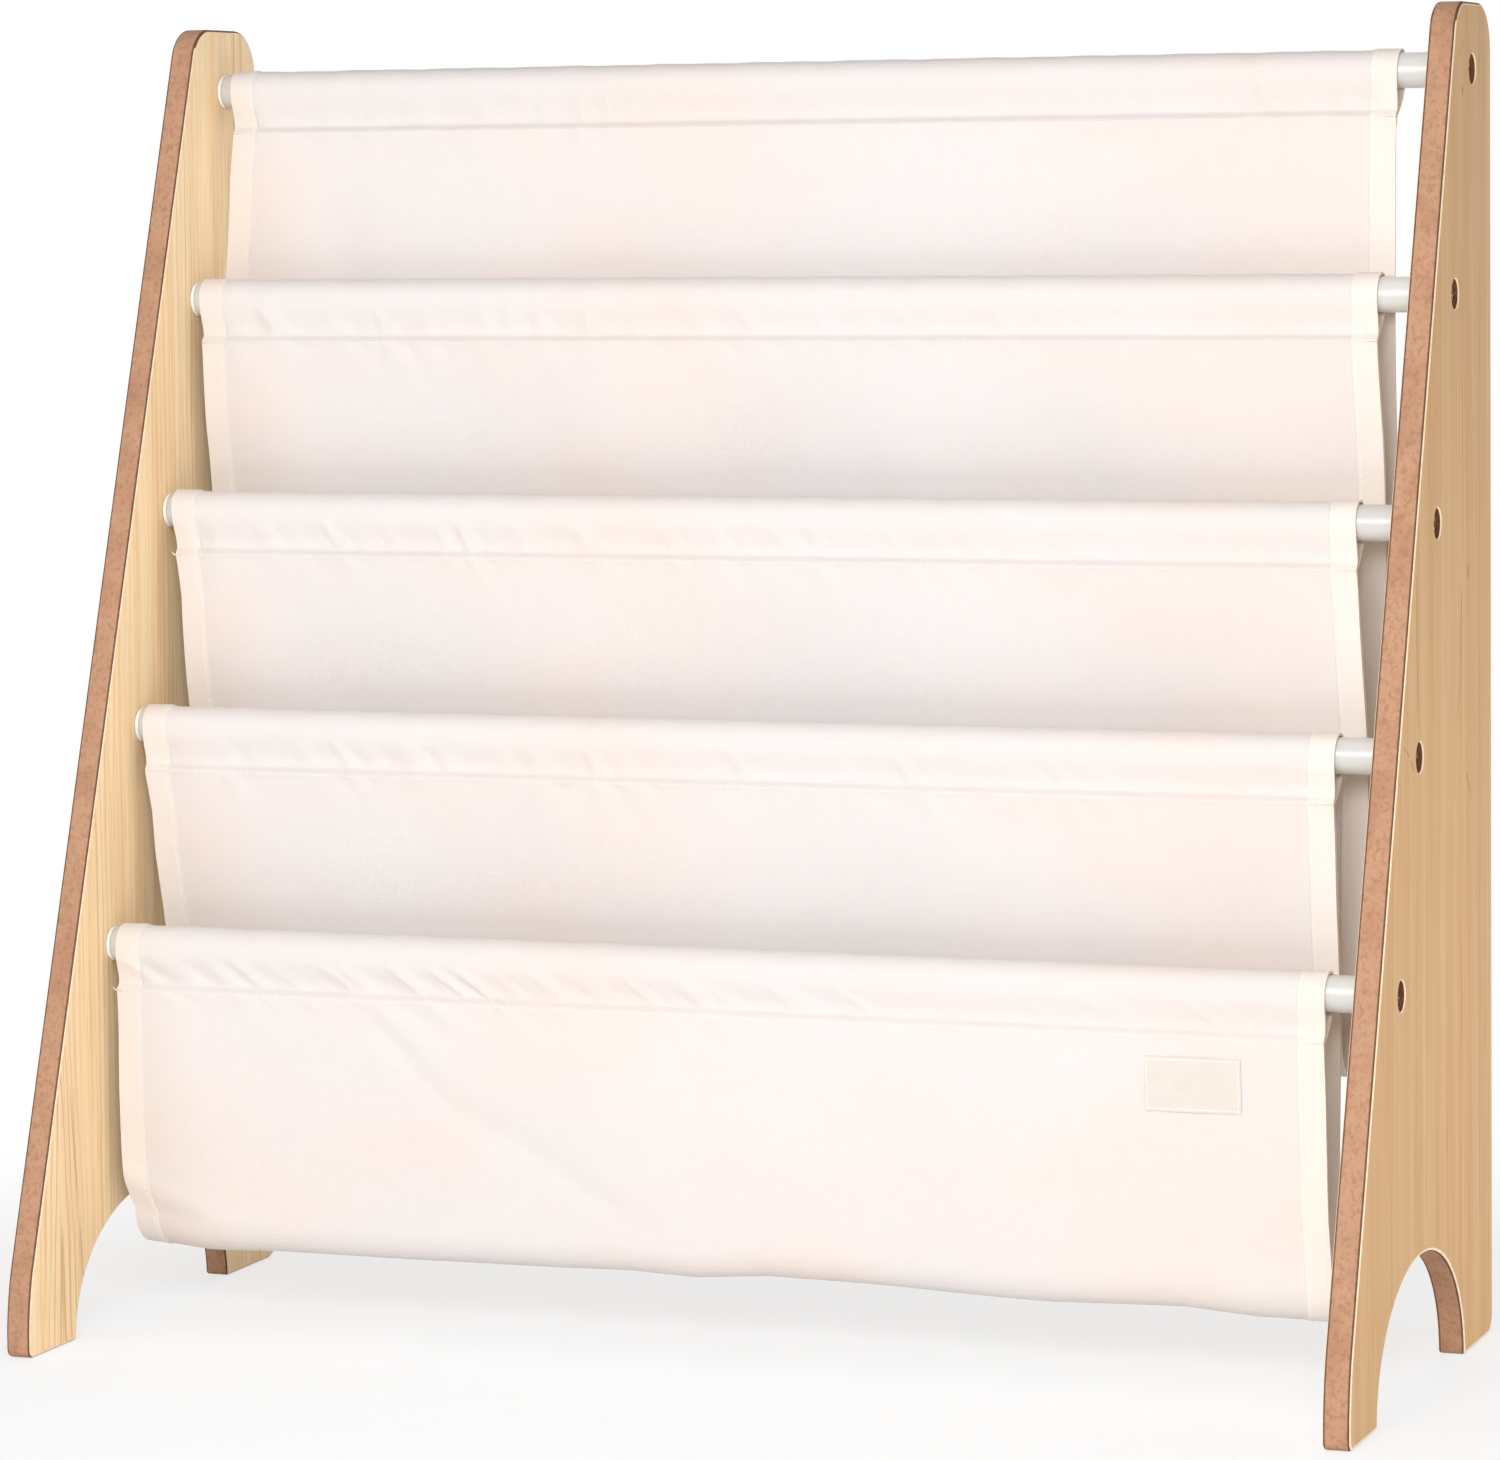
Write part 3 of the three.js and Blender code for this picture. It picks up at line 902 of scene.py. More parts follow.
@dataclass
class SidePanels:
    """The two cut boards, each with a sloping front, a round-cornered top and an arch between its feet."""

    inner_face: float = 0.299
    outer_face: float = 0.311
    front: float = -0.129
    rear: float = 0.129
    height: float = 0.6
    slope_top: float = 0.0656
    toe_height: float = 0.025
    toe_bend_radius: float = 0.1
    toe_tip_radius: float = 4 * MM
    front_top_radius: float = 18 * MM
    rear_top_radius: float = 21 * MM
    heel_radius: float = 9 * MM
    arch_middle: float = -4.7 * MM
    arch_half_width: float = 78.5 * MM
    arch_height: float = 59.5 * MM
    arch_sides: int = 192
    arris: float = 1.5 * MM
    arris_steps: int = 4
    arris_angle: float = math.radians(40)
    arch_merge: float = 0.05 * MM
    bore: float = 3.3 * MM
    counterbore: float = 6.7 * MM
    counterbore_depth: float = 5 * MM
    rim: float = 0.55 * MM
    hole_sides: int = 64
    smooth_degrees: float = 28
    # The inner faces' copy of the laminate is painted paler and warmer, as painted light on the rack's inner
    # sides.
    lit_inner_finish: MapleFace = MapleFace(
        name="maple_face_inner_painted_light",
        pale=shade_of(255, 229, 188),
        warm=shade_of(251, 216, 165),
        loop_y=-0.097,
        loop_top=0.16,
        loop_width=7 * MM,
        loop_length=0.12,
        loop_share=0.5,
        marks=((0.012, 0.214, 0.7 * MM),),
        strokes=((-0.0752, 0.012, -0.0789, 0.0592, 0.34), (-0.0789, 0.0592, -0.086, 0.12, 0.3)),
    )
    # The outer faces' copy of the same laminate is painted darker, as painted shade on the rack's outer
    # sides.
    shaded_outer_finish: MapleFace = MapleFace(
        name="maple_face_outer_painted_shade",
        pale=shade_of(213, 174, 128),
        warm=shade_of(205, 159, 111),
        loop_y=0.07,
        loop_top=0.545,
        loop_width=6 * MM,
        loop_length=0.21,
        loop_share=0.5,
        marks=((0.0745, 0.561, 0.9 * MM), (0.0833, 0.3489, 1.1 * MM)),
        strokes=(
            (-0.0096, 0.2868, -0.0123, 0.3607, 0.5),
            (-0.0123, 0.3607, -0.004, 0.45, 0.34),
            (0.0619, 0.2843, 0.0677, 0.3045, 0.42),
            (0.0677, 0.3045, 0.0718, 0.3462, 0.42),
            (0.0718, 0.3462, 0.074, 0.5, 0.3),
            (-0.0168, 0.2703, -0.0221, 0.2764, 0.7),
            (-0.0221, 0.2764, -0.0378, 0.2839, 0.5),
            (0.0882, 0.2488, 0.0788, 0.2613, 0.6),
            (0.0681, 0.5758, 0.0794, 0.5839, 0.4),
            (0.104, 0.05, 0.1063, 0.5, 0.26),
            (0.115, 0.12, 0.117, 0.59, 0.26),
            (0.121, 0.02, 0.122, 0.42, 0.22),
        ),
    )
    # The drilled walls are painted darker than the cut edge, as painted shade inside the counterbores.
    shaded_bore_finish: BoredFibre = BoredFibre("drilled_fibre_painted_shade", shade_of(146, 98, 72), shade_of(84, 50, 34))
    # The eased rim is the face sheet's cut edge, painted paler than the face partly as a painted highlight.
    rim_highlight_finish: BoredFibre = BoredFibre("cut_face_sheet", shade_of(252, 231, 202), shade_of(238, 208, 172))

    def build(self, rods: Sequence[tuple[float, float]]) -> None:
        """Model the right board, mirror it to the left, and dress both.

        Args:
            rods: the Y and Z of each rod, for the screw holes.
        """
        right = self._board()
        self._round_corners(right)
        cut_away(right, self._arch())
        tidy_normals(right, self.arch_merge)
        apply_modifier(
            right,
            "BEVEL",
            width=self.arris,
            segments=self.arris_steps,
            limit_method="ANGLE",
            angle_limit=self.arris_angle,
            use_clamp_overlap=False,
            loop_slide=False,
        )
        for place in rods:
            cut_away(right, self._hole(place))
        tidy_normals(right)
        left = copied(right, "panel_left", Matrix.Scale(-1, 4, (1, 0, 0)))
        finishes = {
            Zone.OUTER_FACE: self.shaded_outer_finish,
            Zone.CUT_EDGE: CutEdge(),
            Zone.BORED_WALL: self.shaded_bore_finish,
            Zone.RIM: self.rim_highlight_finish,
            Zone.INNER_FACE: self.lit_inner_finish,
        }
        materials = [finishes[zone].material() for zone in Zone]
        for side, board in ((Side.RIGHT, right), (Side.LEFT, left)):
            paint(board, *materials)
            for face in board.data.polygons:
                face.material_index = self._zone(face, rods).value
            smooth(board, self.smooth_degrees)
            dress(board, Slot.BOARD, f"side_panel_{side.word}")

    def _zone(self, face: bpy.types.MeshPolygon, rods: Sequence[tuple[float, float]]) -> Zone:
        """Tell what kind of face one face of a board is.

        The arris keeps the pale face sheet, painted paler than the face partly as a highlight, where it turns
        away least from the board's face, and a little less of it where it looks up.

        Args:
            face: the face.
            rods: the Y and Z of each rod, where the screw holes are.

        Returns:
            The kind of face, which sets its material.
        """
        out, facing = abs(face.center.x), abs(face.normal.x)
        if facing > 0.995 and near(out, self.outer_face):
            return Zone.OUTER_FACE
        if facing > 0.995 and near(out, self.inner_face):
            return Zone.INNER_FACE
        from_rod = min(math.hypot(face.center.y - y, face.center.z - z) for y, z in rods)
        if from_rod > self.counterbore + 2 * self.rim:
            return Zone.RIM if facing > (0.9 if face.normal.z > 0.3 else 0.7) else Zone.CUT_EDGE
        eased = 0.3 < facing < 0.9 and out > self.outer_face - self.rim
        return Zone.RIM if eased else Zone.BORED_WALL

    def _board(self) -> bpy.types.Object:
        """Shape a block into the board's outline, with sharp corners.

        Returns:
            The right board.
        """
        centre = ((self.inner_face + self.outer_face) / 2, (self.front + self.rear) / 2, self.height / 2)
        size = (self.outer_face - self.inner_face, self.rear - self.front, self.height)
        bpy.ops.mesh.primitive_cube_add(size=1, location=centre, scale=size)
        board = settle(bpy.context.object)
        board.name = "panel_right"
        with editing(board):
            bpy.ops.mesh.select_all(action="SELECT")
            bpy.ops.mesh.bisect(plane_co=(0, 0, self.toe_height), plane_no=(0, 0, 1))
            corner = (self.front, self.height)
            pick_edges(board, lambda *ends: all(self._at(point, corner) for point in ends))
            bpy.ops.transform.translate(value=(0, self.slope_top - self.front, 0))
        return board

    def _at(self, point: Vector, corner: tuple[float, float]) -> bool:
        """Tell whether a point lies at a corner of the outline, given as its Y and Z."""
        return near(point.y, corner[0]) and near(point.z, corner[1])

    def _round_corners(self, board: bpy.types.Object) -> None:
        """Round the five corners of the outline, each to its own radius.

        Args:
            board: the board with its sharp corners.
        """
        lean = math.atan2(self.slope_top - self.front, self.height - self.toe_height)
        square = math.pi / 2
        corners = (
            (self.front, 0.0, square, self.toe_tip_radius, 8),
            (self.front, self.toe_height, lean, self.toe_bend_radius, 14),
            (self.slope_top, self.height, square - lean, self.front_top_radius, 20),
            (self.rear, self.height, square, self.rear_top_radius, 24),
            (self.rear, 0.0, square, self.heel_radius, 12),
        )
        for y, z, turn, radius, steps in corners:
            corner, reach = (y, z), radius * math.tan(turn / 2)
            with editing(board):
                pick_edges(board, lambda *ends: all(self._at(point, corner) for point in ends))
                bpy.ops.mesh.bevel(
                    offset_type="OFFSET", offset=reach, segments=steps, profile=0.5, affect="EDGES"
                )

    def _arch(self) -> bpy.types.Object:
        """Make the half-oval cutter between the feet.

        Returns:
            The cutter.
        """
        middle = ((self.inner_face + self.outer_face) / 2, self.arch_middle, 0)
        bpy.ops.mesh.primitive_cylinder_add(
            vertices=self.arch_sides,
            radius=1,
            depth=4 * (self.outer_face - self.inner_face),
            location=middle,
            rotation=(0, math.pi / 2, 0),
            scale=(self.arch_height, self.arch_half_width, 1),
        )
        return settle(bpy.context.object)

    def _hole(self, place: tuple[float, float]) -> bpy.types.Object:
        """Make one stepped cutter: the counterbore with its eased rim, and the screw's hole.

        Args:
            place: the Y and Z of the rod.

        Returns:
            The cutter.
        """
        floor = self.outer_face - self.counterbore_depth
        cutter = drum(self.counterbore, (floor, self.outer_face - self.rim), place, self.hole_sides)
        middle = Vector((self.outer_face, *place))
        with editing(cutter):
            pick_faces(cutter, lambda _, normal: normal.x > 0.9)
            bpy.ops.mesh.extrude_region_move(TRANSFORM_OT_translate={"value": (2 * self.rim, 0, 0)})
            wider = 1 + 2 * self.rim / self.counterbore
            bpy.ops.transform.resize(value=(1, wider, wider), center_override=middle)
            pick_faces(cutter, lambda _, normal: normal.x < -0.9)
            bpy.ops.mesh.inset(thickness=self.counterbore - self.bore)
            through = 2 * (self.outer_face - self.inner_face)
            bpy.ops.mesh.extrude_region_move(TRANSFORM_OT_translate={"value": (-through, 0, 0)})
            bpy.ops.mesh.select_all(action="SELECT")
            bpy.ops.mesh.normals_make_consistent(inside=False)
        return cutter


@dataclass
class Rods:
    """The five coated tubes with their end plugs and screws."""

    radius: float = 8 * MM
    wall: float = 1.2 * MM
    end: float = 0.2966
    sides: int = 96
    end_ease: float = 0.3 * MM
    lathe_sides: int = 64
    flange_face: float = 0.2987
    flange: float = 1.8 * MM
    flange_ease: float = 0.45 * MM
    plug_reach: float = 24 * MM
    plug_bore: float = 2.9 * MM
    plug_play: float = 0.25 * MM
    rib_count: int = 5
    rib_start: float = 1 * MM
    rib_depth: float = 0.6 * MM
    barb: float = 1.6 * MM
    barb_depth: float = 1.3 * MM
    screw_seat: float = 0.3063
    screw_radius: float = 3 * MM
    screw_length: float = 28 * MM
    thread_pitch: float = 1.0 * MM
    thread_depth: float = 0.3 * MM
    thread_start: float = 1.2 * MM
    point: float = 1.5 * MM
    head_radius: float = 6 * MM
    head_height: float = 3.2 * MM
    head_edge: float = 1.1 * MM
    head_ease: float = 0.2 * MM
    dome_steps: int = 10
    dome_fall: float = 1.15
    recess_span: float = 6.8 * MM
    recess_slot: float = 1.6 * MM
    recess_depth: float = 2.0 * MM
    head_turns: tuple[float, ...] = (18, -31, 52, 7, -12, 40, 63, -22, 33, 71)

    def build(self, places: Sequence[tuple[float, float]]) -> None:
        """Model one rod, plug and screw, copy them to every rod and dress them.

        Args:
            places: the Y and Z of each rod.
        """
        coat, plastic, plating = WhiteCoat().material(), MouldedWhite().material(), BronzePlate().material()
        rod, plug, screw = self._tube(), self._plug(), self._screw()
        paint(rod, coat)
        paint(plug, plastic)
        paint(screw, plating)
        turns = iter(self.head_turns)
        for number, (y, z) in enumerate(places, 1):
            move = Matrix.Translation((0, y, z))
            dress(copied(rod, f"tube_{number}", move), Slot.ROD, f"rod_{number}")
            for side in Side:
                mirror = Matrix.Scale(side.value, 4, (1, 0, 0))
                made = copied(plug, f"plug_{number}_{side.word}", move @ mirror)
                dress(made, Slot.PLUG, f"end_plug_{number}_{side.word}")
                turn = Matrix.Rotation(math.radians(next(turns)), 4, "X")
                made = copied(screw, f"bolt_{number}_{side.word}", move @ mirror @ turn)
                dress(made, Slot.SCREW, f"screw_{number}_{side.word}")
        for pattern in (rod, plug, screw):
            bpy.data.objects.remove(pattern)

    def _tube(self) -> bpy.types.Object:
        """Bore a round bar through and ease the edges of its two ends.

        Returns:
            The tube, with its middle at the origin.
        """
        tube = drum(self.radius, (-self.end, self.end), (0, 0), self.sides)
        tube.name = "tube"
        with editing(tube):
            pick_faces(tube, lambda _, normal: abs(normal.x) > 0.9)
            bpy.ops.mesh.inset(thickness=self.wall)
            bpy.ops.mesh.bridge_edge_loops()
        tidy_normals(tube)
        apply_modifier(
            tube, "BEVEL", width=self.end_ease, segments=3, limit_method="ANGLE", angle_limit=math.radians(60)
        )
        smooth(tube, 35)
        return tube

    def _plug(self) -> bpy.types.Object:
        """Turn the right-hand plug: a thin flange, a ribbed body with a barb, and a bore for the screw.

        Returns:
            The plug, on the X axis.
        """
        outer, inner = self.flange_face, self.flange_face - self.flange
        body = self.radius - self.wall - self.plug_play
        groove = body - self.rib_depth
        tip = inner - self.plug_reach
        bore, ease = self.plug_bore, self.flange_ease
        section = [
            (outer, bore),
            (outer, self.radius - ease),
            (outer - 0.15 * ease, self.radius - 0.4 * ease),
            (outer - 0.5 * ease, self.radius - 0.1 * ease),
            (outer - ease, self.radius),
            (inner + ease, self.radius),
            (inner + 0.2 * ease, self.radius - 0.2 * ease),
            (inner, self.radius - ease),
            (inner, body),
        ]
        pitch = (self.plug_reach - 9 * MM) / self.rib_count
        for rib in range(self.rib_count):
            start = inner - self.rib_start - rib * pitch
            section += [(start, body), (start - 0.25 * pitch, groove)]
            section += [(start - 0.6 * pitch, groove), (start - 0.85 * pitch, body)]
        section += [(tip + self.barb, body), (tip, body - self.barb_depth), (tip, bore), (outer, bore)]
        plug = turned("plug", section, self.lathe_sides)
        smooth(plug, 38)
        return plug

    def _screw(self) -> bpy.types.Object:
        """Turn the right-hand screw: a domed head with a tapered cross recess, and a ridged shank.

        Returns:
            The screw, on the X axis.
        """
        seat, top = self.screw_seat, self.screw_seat + self.head_height
        section = [(top, 0.0)]
        dome = self.head_height - self.head_edge
        for step in range(1, self.dome_steps):
            angle = step / self.dome_steps * math.pi / 2
            fall = dome * (1 - math.cos(angle)) ** self.dome_fall
            section.append((top - fall, self.head_radius * math.sin(angle)))
        section += [(seat + self.head_edge, self.head_radius), (seat + self.head_ease, self.head_radius)]
        section += [(seat, self.head_radius - self.head_ease), (seat, self.screw_radius)]
        root = self.screw_radius - self.thread_depth
        for ridge in range(int(self.screw_length / self.thread_pitch) - 3):
            start = seat - self.thread_start - ridge * self.thread_pitch
            section += [(start, self.screw_radius), (start - 0.5 * self.thread_pitch, root)]
        tip = seat - self.screw_length
        section += [(tip + self.point, root), (tip, 0.6 * self.screw_radius), (tip, 0.0)]
        screw = turned("bolt", section, self.lathe_sides)
        for quarter in (0, 1):
            cut_away(screw, self._recess(top, quarter))
        tidy_normals(screw)
        smooth(screw, 32)
        return screw

    def _recess(self, top: float, quarter: int) -> bpy.types.Object:
        """Make one bar of the cross recess, narrower and shorter towards its floor.

        Args:
            top: the X of the head's highest point.
            quarter: how many quarter turns the bar lies round the axis.

        Returns:
            The cutter.
        """
        depth = self.recess_depth
        size = (2 * depth, self.recess_span, self.recess_slot)
        bpy.ops.mesh.primitive_cube_add(size=1, location=(top, 0, 0), scale=size)
        bar = settle(bpy.context.object)
        floor = Vector((top - depth, 0, 0))
        with editing(bar):
            pick_faces(bar, lambda _, normal: normal.x < -0.9)
            bpy.ops.transform.resize(value=(1, 0.42, 0.62), center_override=floor)
        bar.data.transform(Matrix.Rotation(quarter * math.pi / 2, 4, "X"))
        return bar


# The cloth


def ramp(value: np.ndarray, low: float, high: float) -> np.ndarray:
    """Rise smoothly from 0 at low to 1 at high."""
    share = np.clip((value - low) / (high - low), 0.0, 1.0)
    return share * share * (3 - 2 * share)


def from_table(value: np.ndarray, table: Pairs) -> np.ndarray:
    """Read a value from pairs of drop and length, both in millimetres, and give metres."""
    drops, lengths = zip(*table)
    return np.interp(np.asarray(value) / MM, drops, lengths) * MM


def lengths_along(line: np.ndarray) -> np.ndarray:
    """How far along a row of points each of them lies, from 0 at the first."""
    return np.concatenate([[0.0], np.cumsum(np.linalg.norm(np.diff(line, axis=0), axis=1))])


def point_at(line: np.ndarray, lengths: np.ndarray, place: float) -> np.ndarray:
    """The point at one length along a row of points."""
    return np.array([np.interp(place, lengths, line[:, axis]) for axis in range(3)])


@dataclass(frozen=True)
class CreaseKind:
    """One size of crease in a seam's gathers, as ranges in millimetres."""

    count: int
    thin: tuple[float, float]
    tall: tuple[float, float]
    reach: tuple[float, float]


@dataclass(frozen=True)
class Gathers:
    """The creases that run up and down from one seam, drawn once from a seed.

    Each stands highest between the rod and the seam, where it slants, and turns back where it rounds the rod.
    """

    seed: int
    width: float
    left: float
    zones: tuple[tuple[float, float, float], ...]
    lean: float
    kinds: tuple[CreaseKind, ...] = (
        CreaseKind(27, (3.0, 6.2), (0.5, 1.9), (2, 13)),
        CreaseKind(60, (1.7, 2.8), (0.08, 0.34), (2, 9)),
    )
    turn: float = 4 * MM
    seam: float = 20.5 * MM

    def lift(self, x: np.ndarray, drop: np.ndarray) -> np.ndarray:
        """How far the creases stand out at each place.

        Args:
            x: places across the rack.
            drop: how far each place is below the rod's middle.

        Returns:
            Lengths, outwards where they are above zero.
        """
        draw = np.random.default_rng(self.seed)
        total = np.zeros(np.broadcast(x, drop).shape)
        above = 0.25 * ramp(drop, -9 * MM, -3 * MM) + 0.75 * ramp(drop, 0.0, 11 * MM)
        below = np.maximum(drop - self.seam, 0.0)
        held = 1 - 0.55 * np.exp(-(((drop - self.seam) / (1.6 * MM)) ** 2))
        from_seam = np.abs(drop - self.turn) - (self.seam - self.turn)
        for kind in self.kinds:
            for index in range(kind.count):
                middle = self.left + self.width * (index + draw.uniform(-0.1, 1.1)) / kind.count
                thin = draw.uniform(*kind.thin) * MM
                tall = draw.uniform(*kind.tall) * MM
                slant = self.lean + draw.normal(0.0, 0.2)
                reach = draw.uniform(*kind.reach) * MM
                share = (middle - self.left) / self.width
                tall *= 0.45 + sum(
                    more * math.exp(-(((share - at) / wide) ** 2)) for at, wide, more in self.zones
                )
                spread = thin * (1 + below / (18 * MM))
                aside = (x - middle - slant * from_seam) / spread
                crease = np.exp(-(aside**2)) - 0.45 * np.exp(-((aside - 1.7) ** 2))
                total += tall * crease * above * np.exp(-below / reach)
        return total * held


@dataclass(frozen=True)
class Drapes:
    """The broad soft folds of one hanging wall, drawn once from a seed."""

    seed: int
    width: float
    left: float
    depth: float
    count: int = 9

    def push(self, x: np.ndarray, drop: np.ndarray) -> np.ndarray:
        """How far the folds push the wall to the rear at each place.

        Args:
            x: places across the rack.
            drop: how far each place is below the rod's middle.

        Returns:
            Lengths, rearwards where they are above zero.
        """
        draw = np.random.default_rng(self.seed)
        total = np.zeros(np.broadcast(x, drop).shape)
        hanging = ramp(drop, 18 * MM, 60 * MM)
        for index in range(self.count):
            middle = self.left + self.width * (index + draw.uniform(0.0, 1.0)) / self.count
            wide = draw.uniform(11, 34) * MM
            tall = draw.uniform(-1.0, 1.0) * self.depth
            slant = draw.normal(0.0, 0.25)
            start = draw.uniform(15, 70) * MM
            aside = (x - middle - slant * (drop - start)) / wide
            total += tall * np.exp(-(aside**2)) * hanging * ramp(drop, start - 30 * MM, start + 25 * MM)
        return total


@dataclass
class Sling:
    """The sewn cloth: five sleeves round the rods, and four pockets hung between them."""

    rods: Sequence[tuple[float, float]]
    left: float = -0.293
    right: float = 0.280
    ply: float = 0.55 * MM
    hem: float = 12 * MM
    rod_radius: float = 8 * MM
    seam_drop: float = 20.5 * MM
    seam_forward: float = 7.5 * MM
    pocket_depth: float = 141 * MM
    bottom_rise: float = 17 * MM
    front_relief: float = 4.5 * MM
    inner_swell: float = 8 * MM
    rear_swell: float = -4 * MM
    column_pitch: float = 1.9 * MM
    tuck: float = 3.4 * MM
    rear_bulge: float = 2.0 * MM
    seam_ridge: float = 0.3 * MM
    stitch_pitch: float = 3.2 * MM
    seam_inset: float = 4 * MM
    hem_seam: float = 10.5 * MM
    stitch_length: float = 2.6 * MM
    thread_radius: float = 0.2 * MM
    loose_ends: tuple[int, ...] = (0, 2)
    fold_depths: tuple[float, ...] = (1.6, 1.4, 1.8, 1.5, 1.3)
    long_fold: Pairs = ((-175, 24), (-159, 35), (-130, 68.5), (-92, 85), (-53, 108), (-20, 122))
    long_fold_depth: float = 1.7 * MM
    long_fold_width: float = 7 * MM
    fold_pitches: tuple[float, ...] = (210, 165, 190, 150, 230)
    fold_shifts: tuple[float, ...] = (40, 95, 10, 60, 120)
    left_drift: tuple[Pairs, ...] = (
        ((-9, 0), (20, 0), (97, 0), (115, 2), (138, 7.5), (240, 7.5)),
        ((-9, -1), (20, 0), (40, 1.8), (60, 2), (97, 5), (240, 6)),
        ((-9, -1), (20, 1.2), (40, 3.2), (80, 3.5), (97, 4.5), (240, 5)),
        ((-9, -0.5), (20, 0.5), (60, 0), (97, 1.3), (240, 2)),
        ((-9, 1.5), (20, 3), (40, 1.2), (60, 0), (97, -2), (240, 0)),
    )
    right_drift: tuple[Pairs, ...] = (
        ((-9, 0), (20, -0.8), (97, 0), (120, 1), (138, 2.5), (240, 2)),
        ((-9, -4), (20, -4.8), (97, -4.2), (240, -4)),
        ((-9, -3.2), (20, -3), (60, -1.2), (97, 0), (240, 0)),
        ((-9, -1.6), (20, -2), (60, -1), (97, -0.6), (240, 0)),
        ((-9, -0.6), (20, -1.5), (97, -1), (240, 0)),
    )
    front_hem_line: Pairs = (
        (-293, 1.4), (-253, -1.1), (-217, 0), (-147, -0.5), (-78, 0.2), (-44, 1.2), (-10, 0),
        (23, 2.2), (60, 1.5), (121, -0.3), (153, -1), (217, 0.3), (248, -2.4), (283, -2.6),
    )
    gather_zones: tuple[tuple[tuple[float, float, float], ...], ...] = (
        ((0.1, 0.08, 0.6), (0.3, 0.12, 1.0), (0.48, 0.1, 0.8), (0.93, 0.05, 0.4)),
        ((0.1, 0.08, 0.7), (0.34, 0.14, 0.9), (0.7, 0.1, 0.4)),
        ((0.1, 0.06, 0.6), (0.28, 0.14, 0.9), (0.55, 0.12, 0.5)),
        ((0.12, 0.1, 0.8), (0.32, 0.14, 0.8), (0.6, 0.15, 0.4)),
        ((0.06, 0.06, 0.8), (0.3, 0.1, 0.6), (0.9, 0.1, 0.6)),
    )
    gather_leans: tuple[float, ...] = (1.05, 0.4, 0.35, 0.3, 0.25)

    @property
    def width(self) -> float:
        """The cloth's width when it is flat."""
        return self.right - self.left

    def columns(self) -> np.ndarray:
        """The grid's places across the flat cloth, closer together at the hems' inner edge.

        Returns:
            Lengths from the cloth's left end.
        """
        count = round((self.width - 2 * self.hem) / self.column_pitch)
        inner = np.linspace(self.hem + 0.3 * MM, self.width - self.hem - 0.3 * MM, count)
        end = np.array([0.0, 0.5, 2.5, 4.5, 6.5, 8.5, 10.5, 11.7]) * MM
        return np.concatenate([end, inner, self.width - end[::-1]])

    def hem_share(self, across: np.ndarray) -> np.ndarray:
        """1 in the two doubled hems and 0 between them."""
        return (np.minimum(across, self.width - across) < self.hem).astype(float)

    def half_ply(self, across: np.ndarray) -> np.ndarray:
        """Half the cloth's thickness at each column, which is two plies in a hem."""
        return self.ply / 2 * (1 + self.hem_share(across))

    def across_rack(self, rod: int, across: np.ndarray, drop: np.ndarray) -> np.ndarray:
        """Where a column stands across the rack, with the cloth's ends drawn in or let out as it hangs.

        Args:
            rod: the rod's index, 0 for the lowest.
            across: places across the flat cloth.
            drop: how far each place is below the rod's middle.

        Returns:
            The X of each place.
        """
        share = across / self.width
        start = self.left + from_table(drop, self.left_drift[rod])
        stop = self.right + from_table(drop, self.right_drift[rod])
        return start + (stop - start) * share

    def creases(self, rod: int, x: np.ndarray, drop: np.ndarray) -> np.ndarray:
        """How far the seam's gathers stand forward."""
        made = Gathers(101 + rod, self.width, self.left, self.gather_zones[rod], self.gather_leans[rod])
        return made.lift(x, drop)

    def wall_line(self, rod: int, x: np.ndarray, drop: np.ndarray) -> np.ndarray:
        """The Y that both plies under a rod follow as they hang.

        Args:
            rod: the rod's index.
            x: places across the rack.
            drop: how far each place is below the rod's middle.

        Returns:
            The Y of each place.
        """
        rise = self.rods[1][1] - self.rods[0][1]
        back_drop = rise + self.pocket_depth
        share = np.clip((drop - self.seam_drop) / (back_drop - self.seam_drop), 0.0, 1.0)
        if rod == 0:
            swell = self.front_relief * share * back_drop / self.pocket_depth
        else:
            swell = (self.rear_swell if rod == ROD_COUNT - 1 else self.inner_swell) * np.sin(math.pi * share)
        pitch = self.fold_pitches[rod] * MM
        phase = 2 * math.pi * (x - self.left - self.fold_shifts[rod] * MM) / pitch
        fold = -self.fold_depths[rod] * MM * np.cos(phase) * ramp(drop, self.seam_drop, self.pocket_depth / 2)
        drapes = Drapes(211 + rod, self.width, self.left, 1.5 * MM).push(x, drop)
        from_end = np.minimum(x - self.left, self.right - x)
        curl = 0.7 * MM * np.exp(-np.maximum(from_end, 0) / (16 * MM)) * np.sin(drop / (17 * MM) + rod)
        ridge = self.seam_ridge * np.exp(-(((drop - self.seam_drop) / (0.9 * MM)) ** 2))
        line = self.rods[rod][0] - self.seam_forward + swell + fold + drapes - ridge
        if rod == 0:
            middle = np.interp(x / MM, *zip(*self.long_fold)) * MM
            first, last = self.long_fold[0][0] * MM, self.long_fold[-1][0] * MM
            ends = ramp(x, first, first + 30 * MM) * ramp(x, last, last - 40 * MM)
            fold = np.exp(-(((drop - middle) / self.long_fold_width) ** 2))
            line = line + self.long_fold_depth * ends * fold
        return line + curl * ramp(drop, self.seam_drop, 50 * MM) - self.creases(rod, x, drop)

    def ply_shift(self, across: np.ndarray, drop: np.ndarray) -> np.ndarray:
        """How far each of the two plies stands from the line that they hang along."""
        return self.half_ply(across) + (0.06 + 0.3 * ramp(drop, self.seam_drop, 60 * MM)) * MM

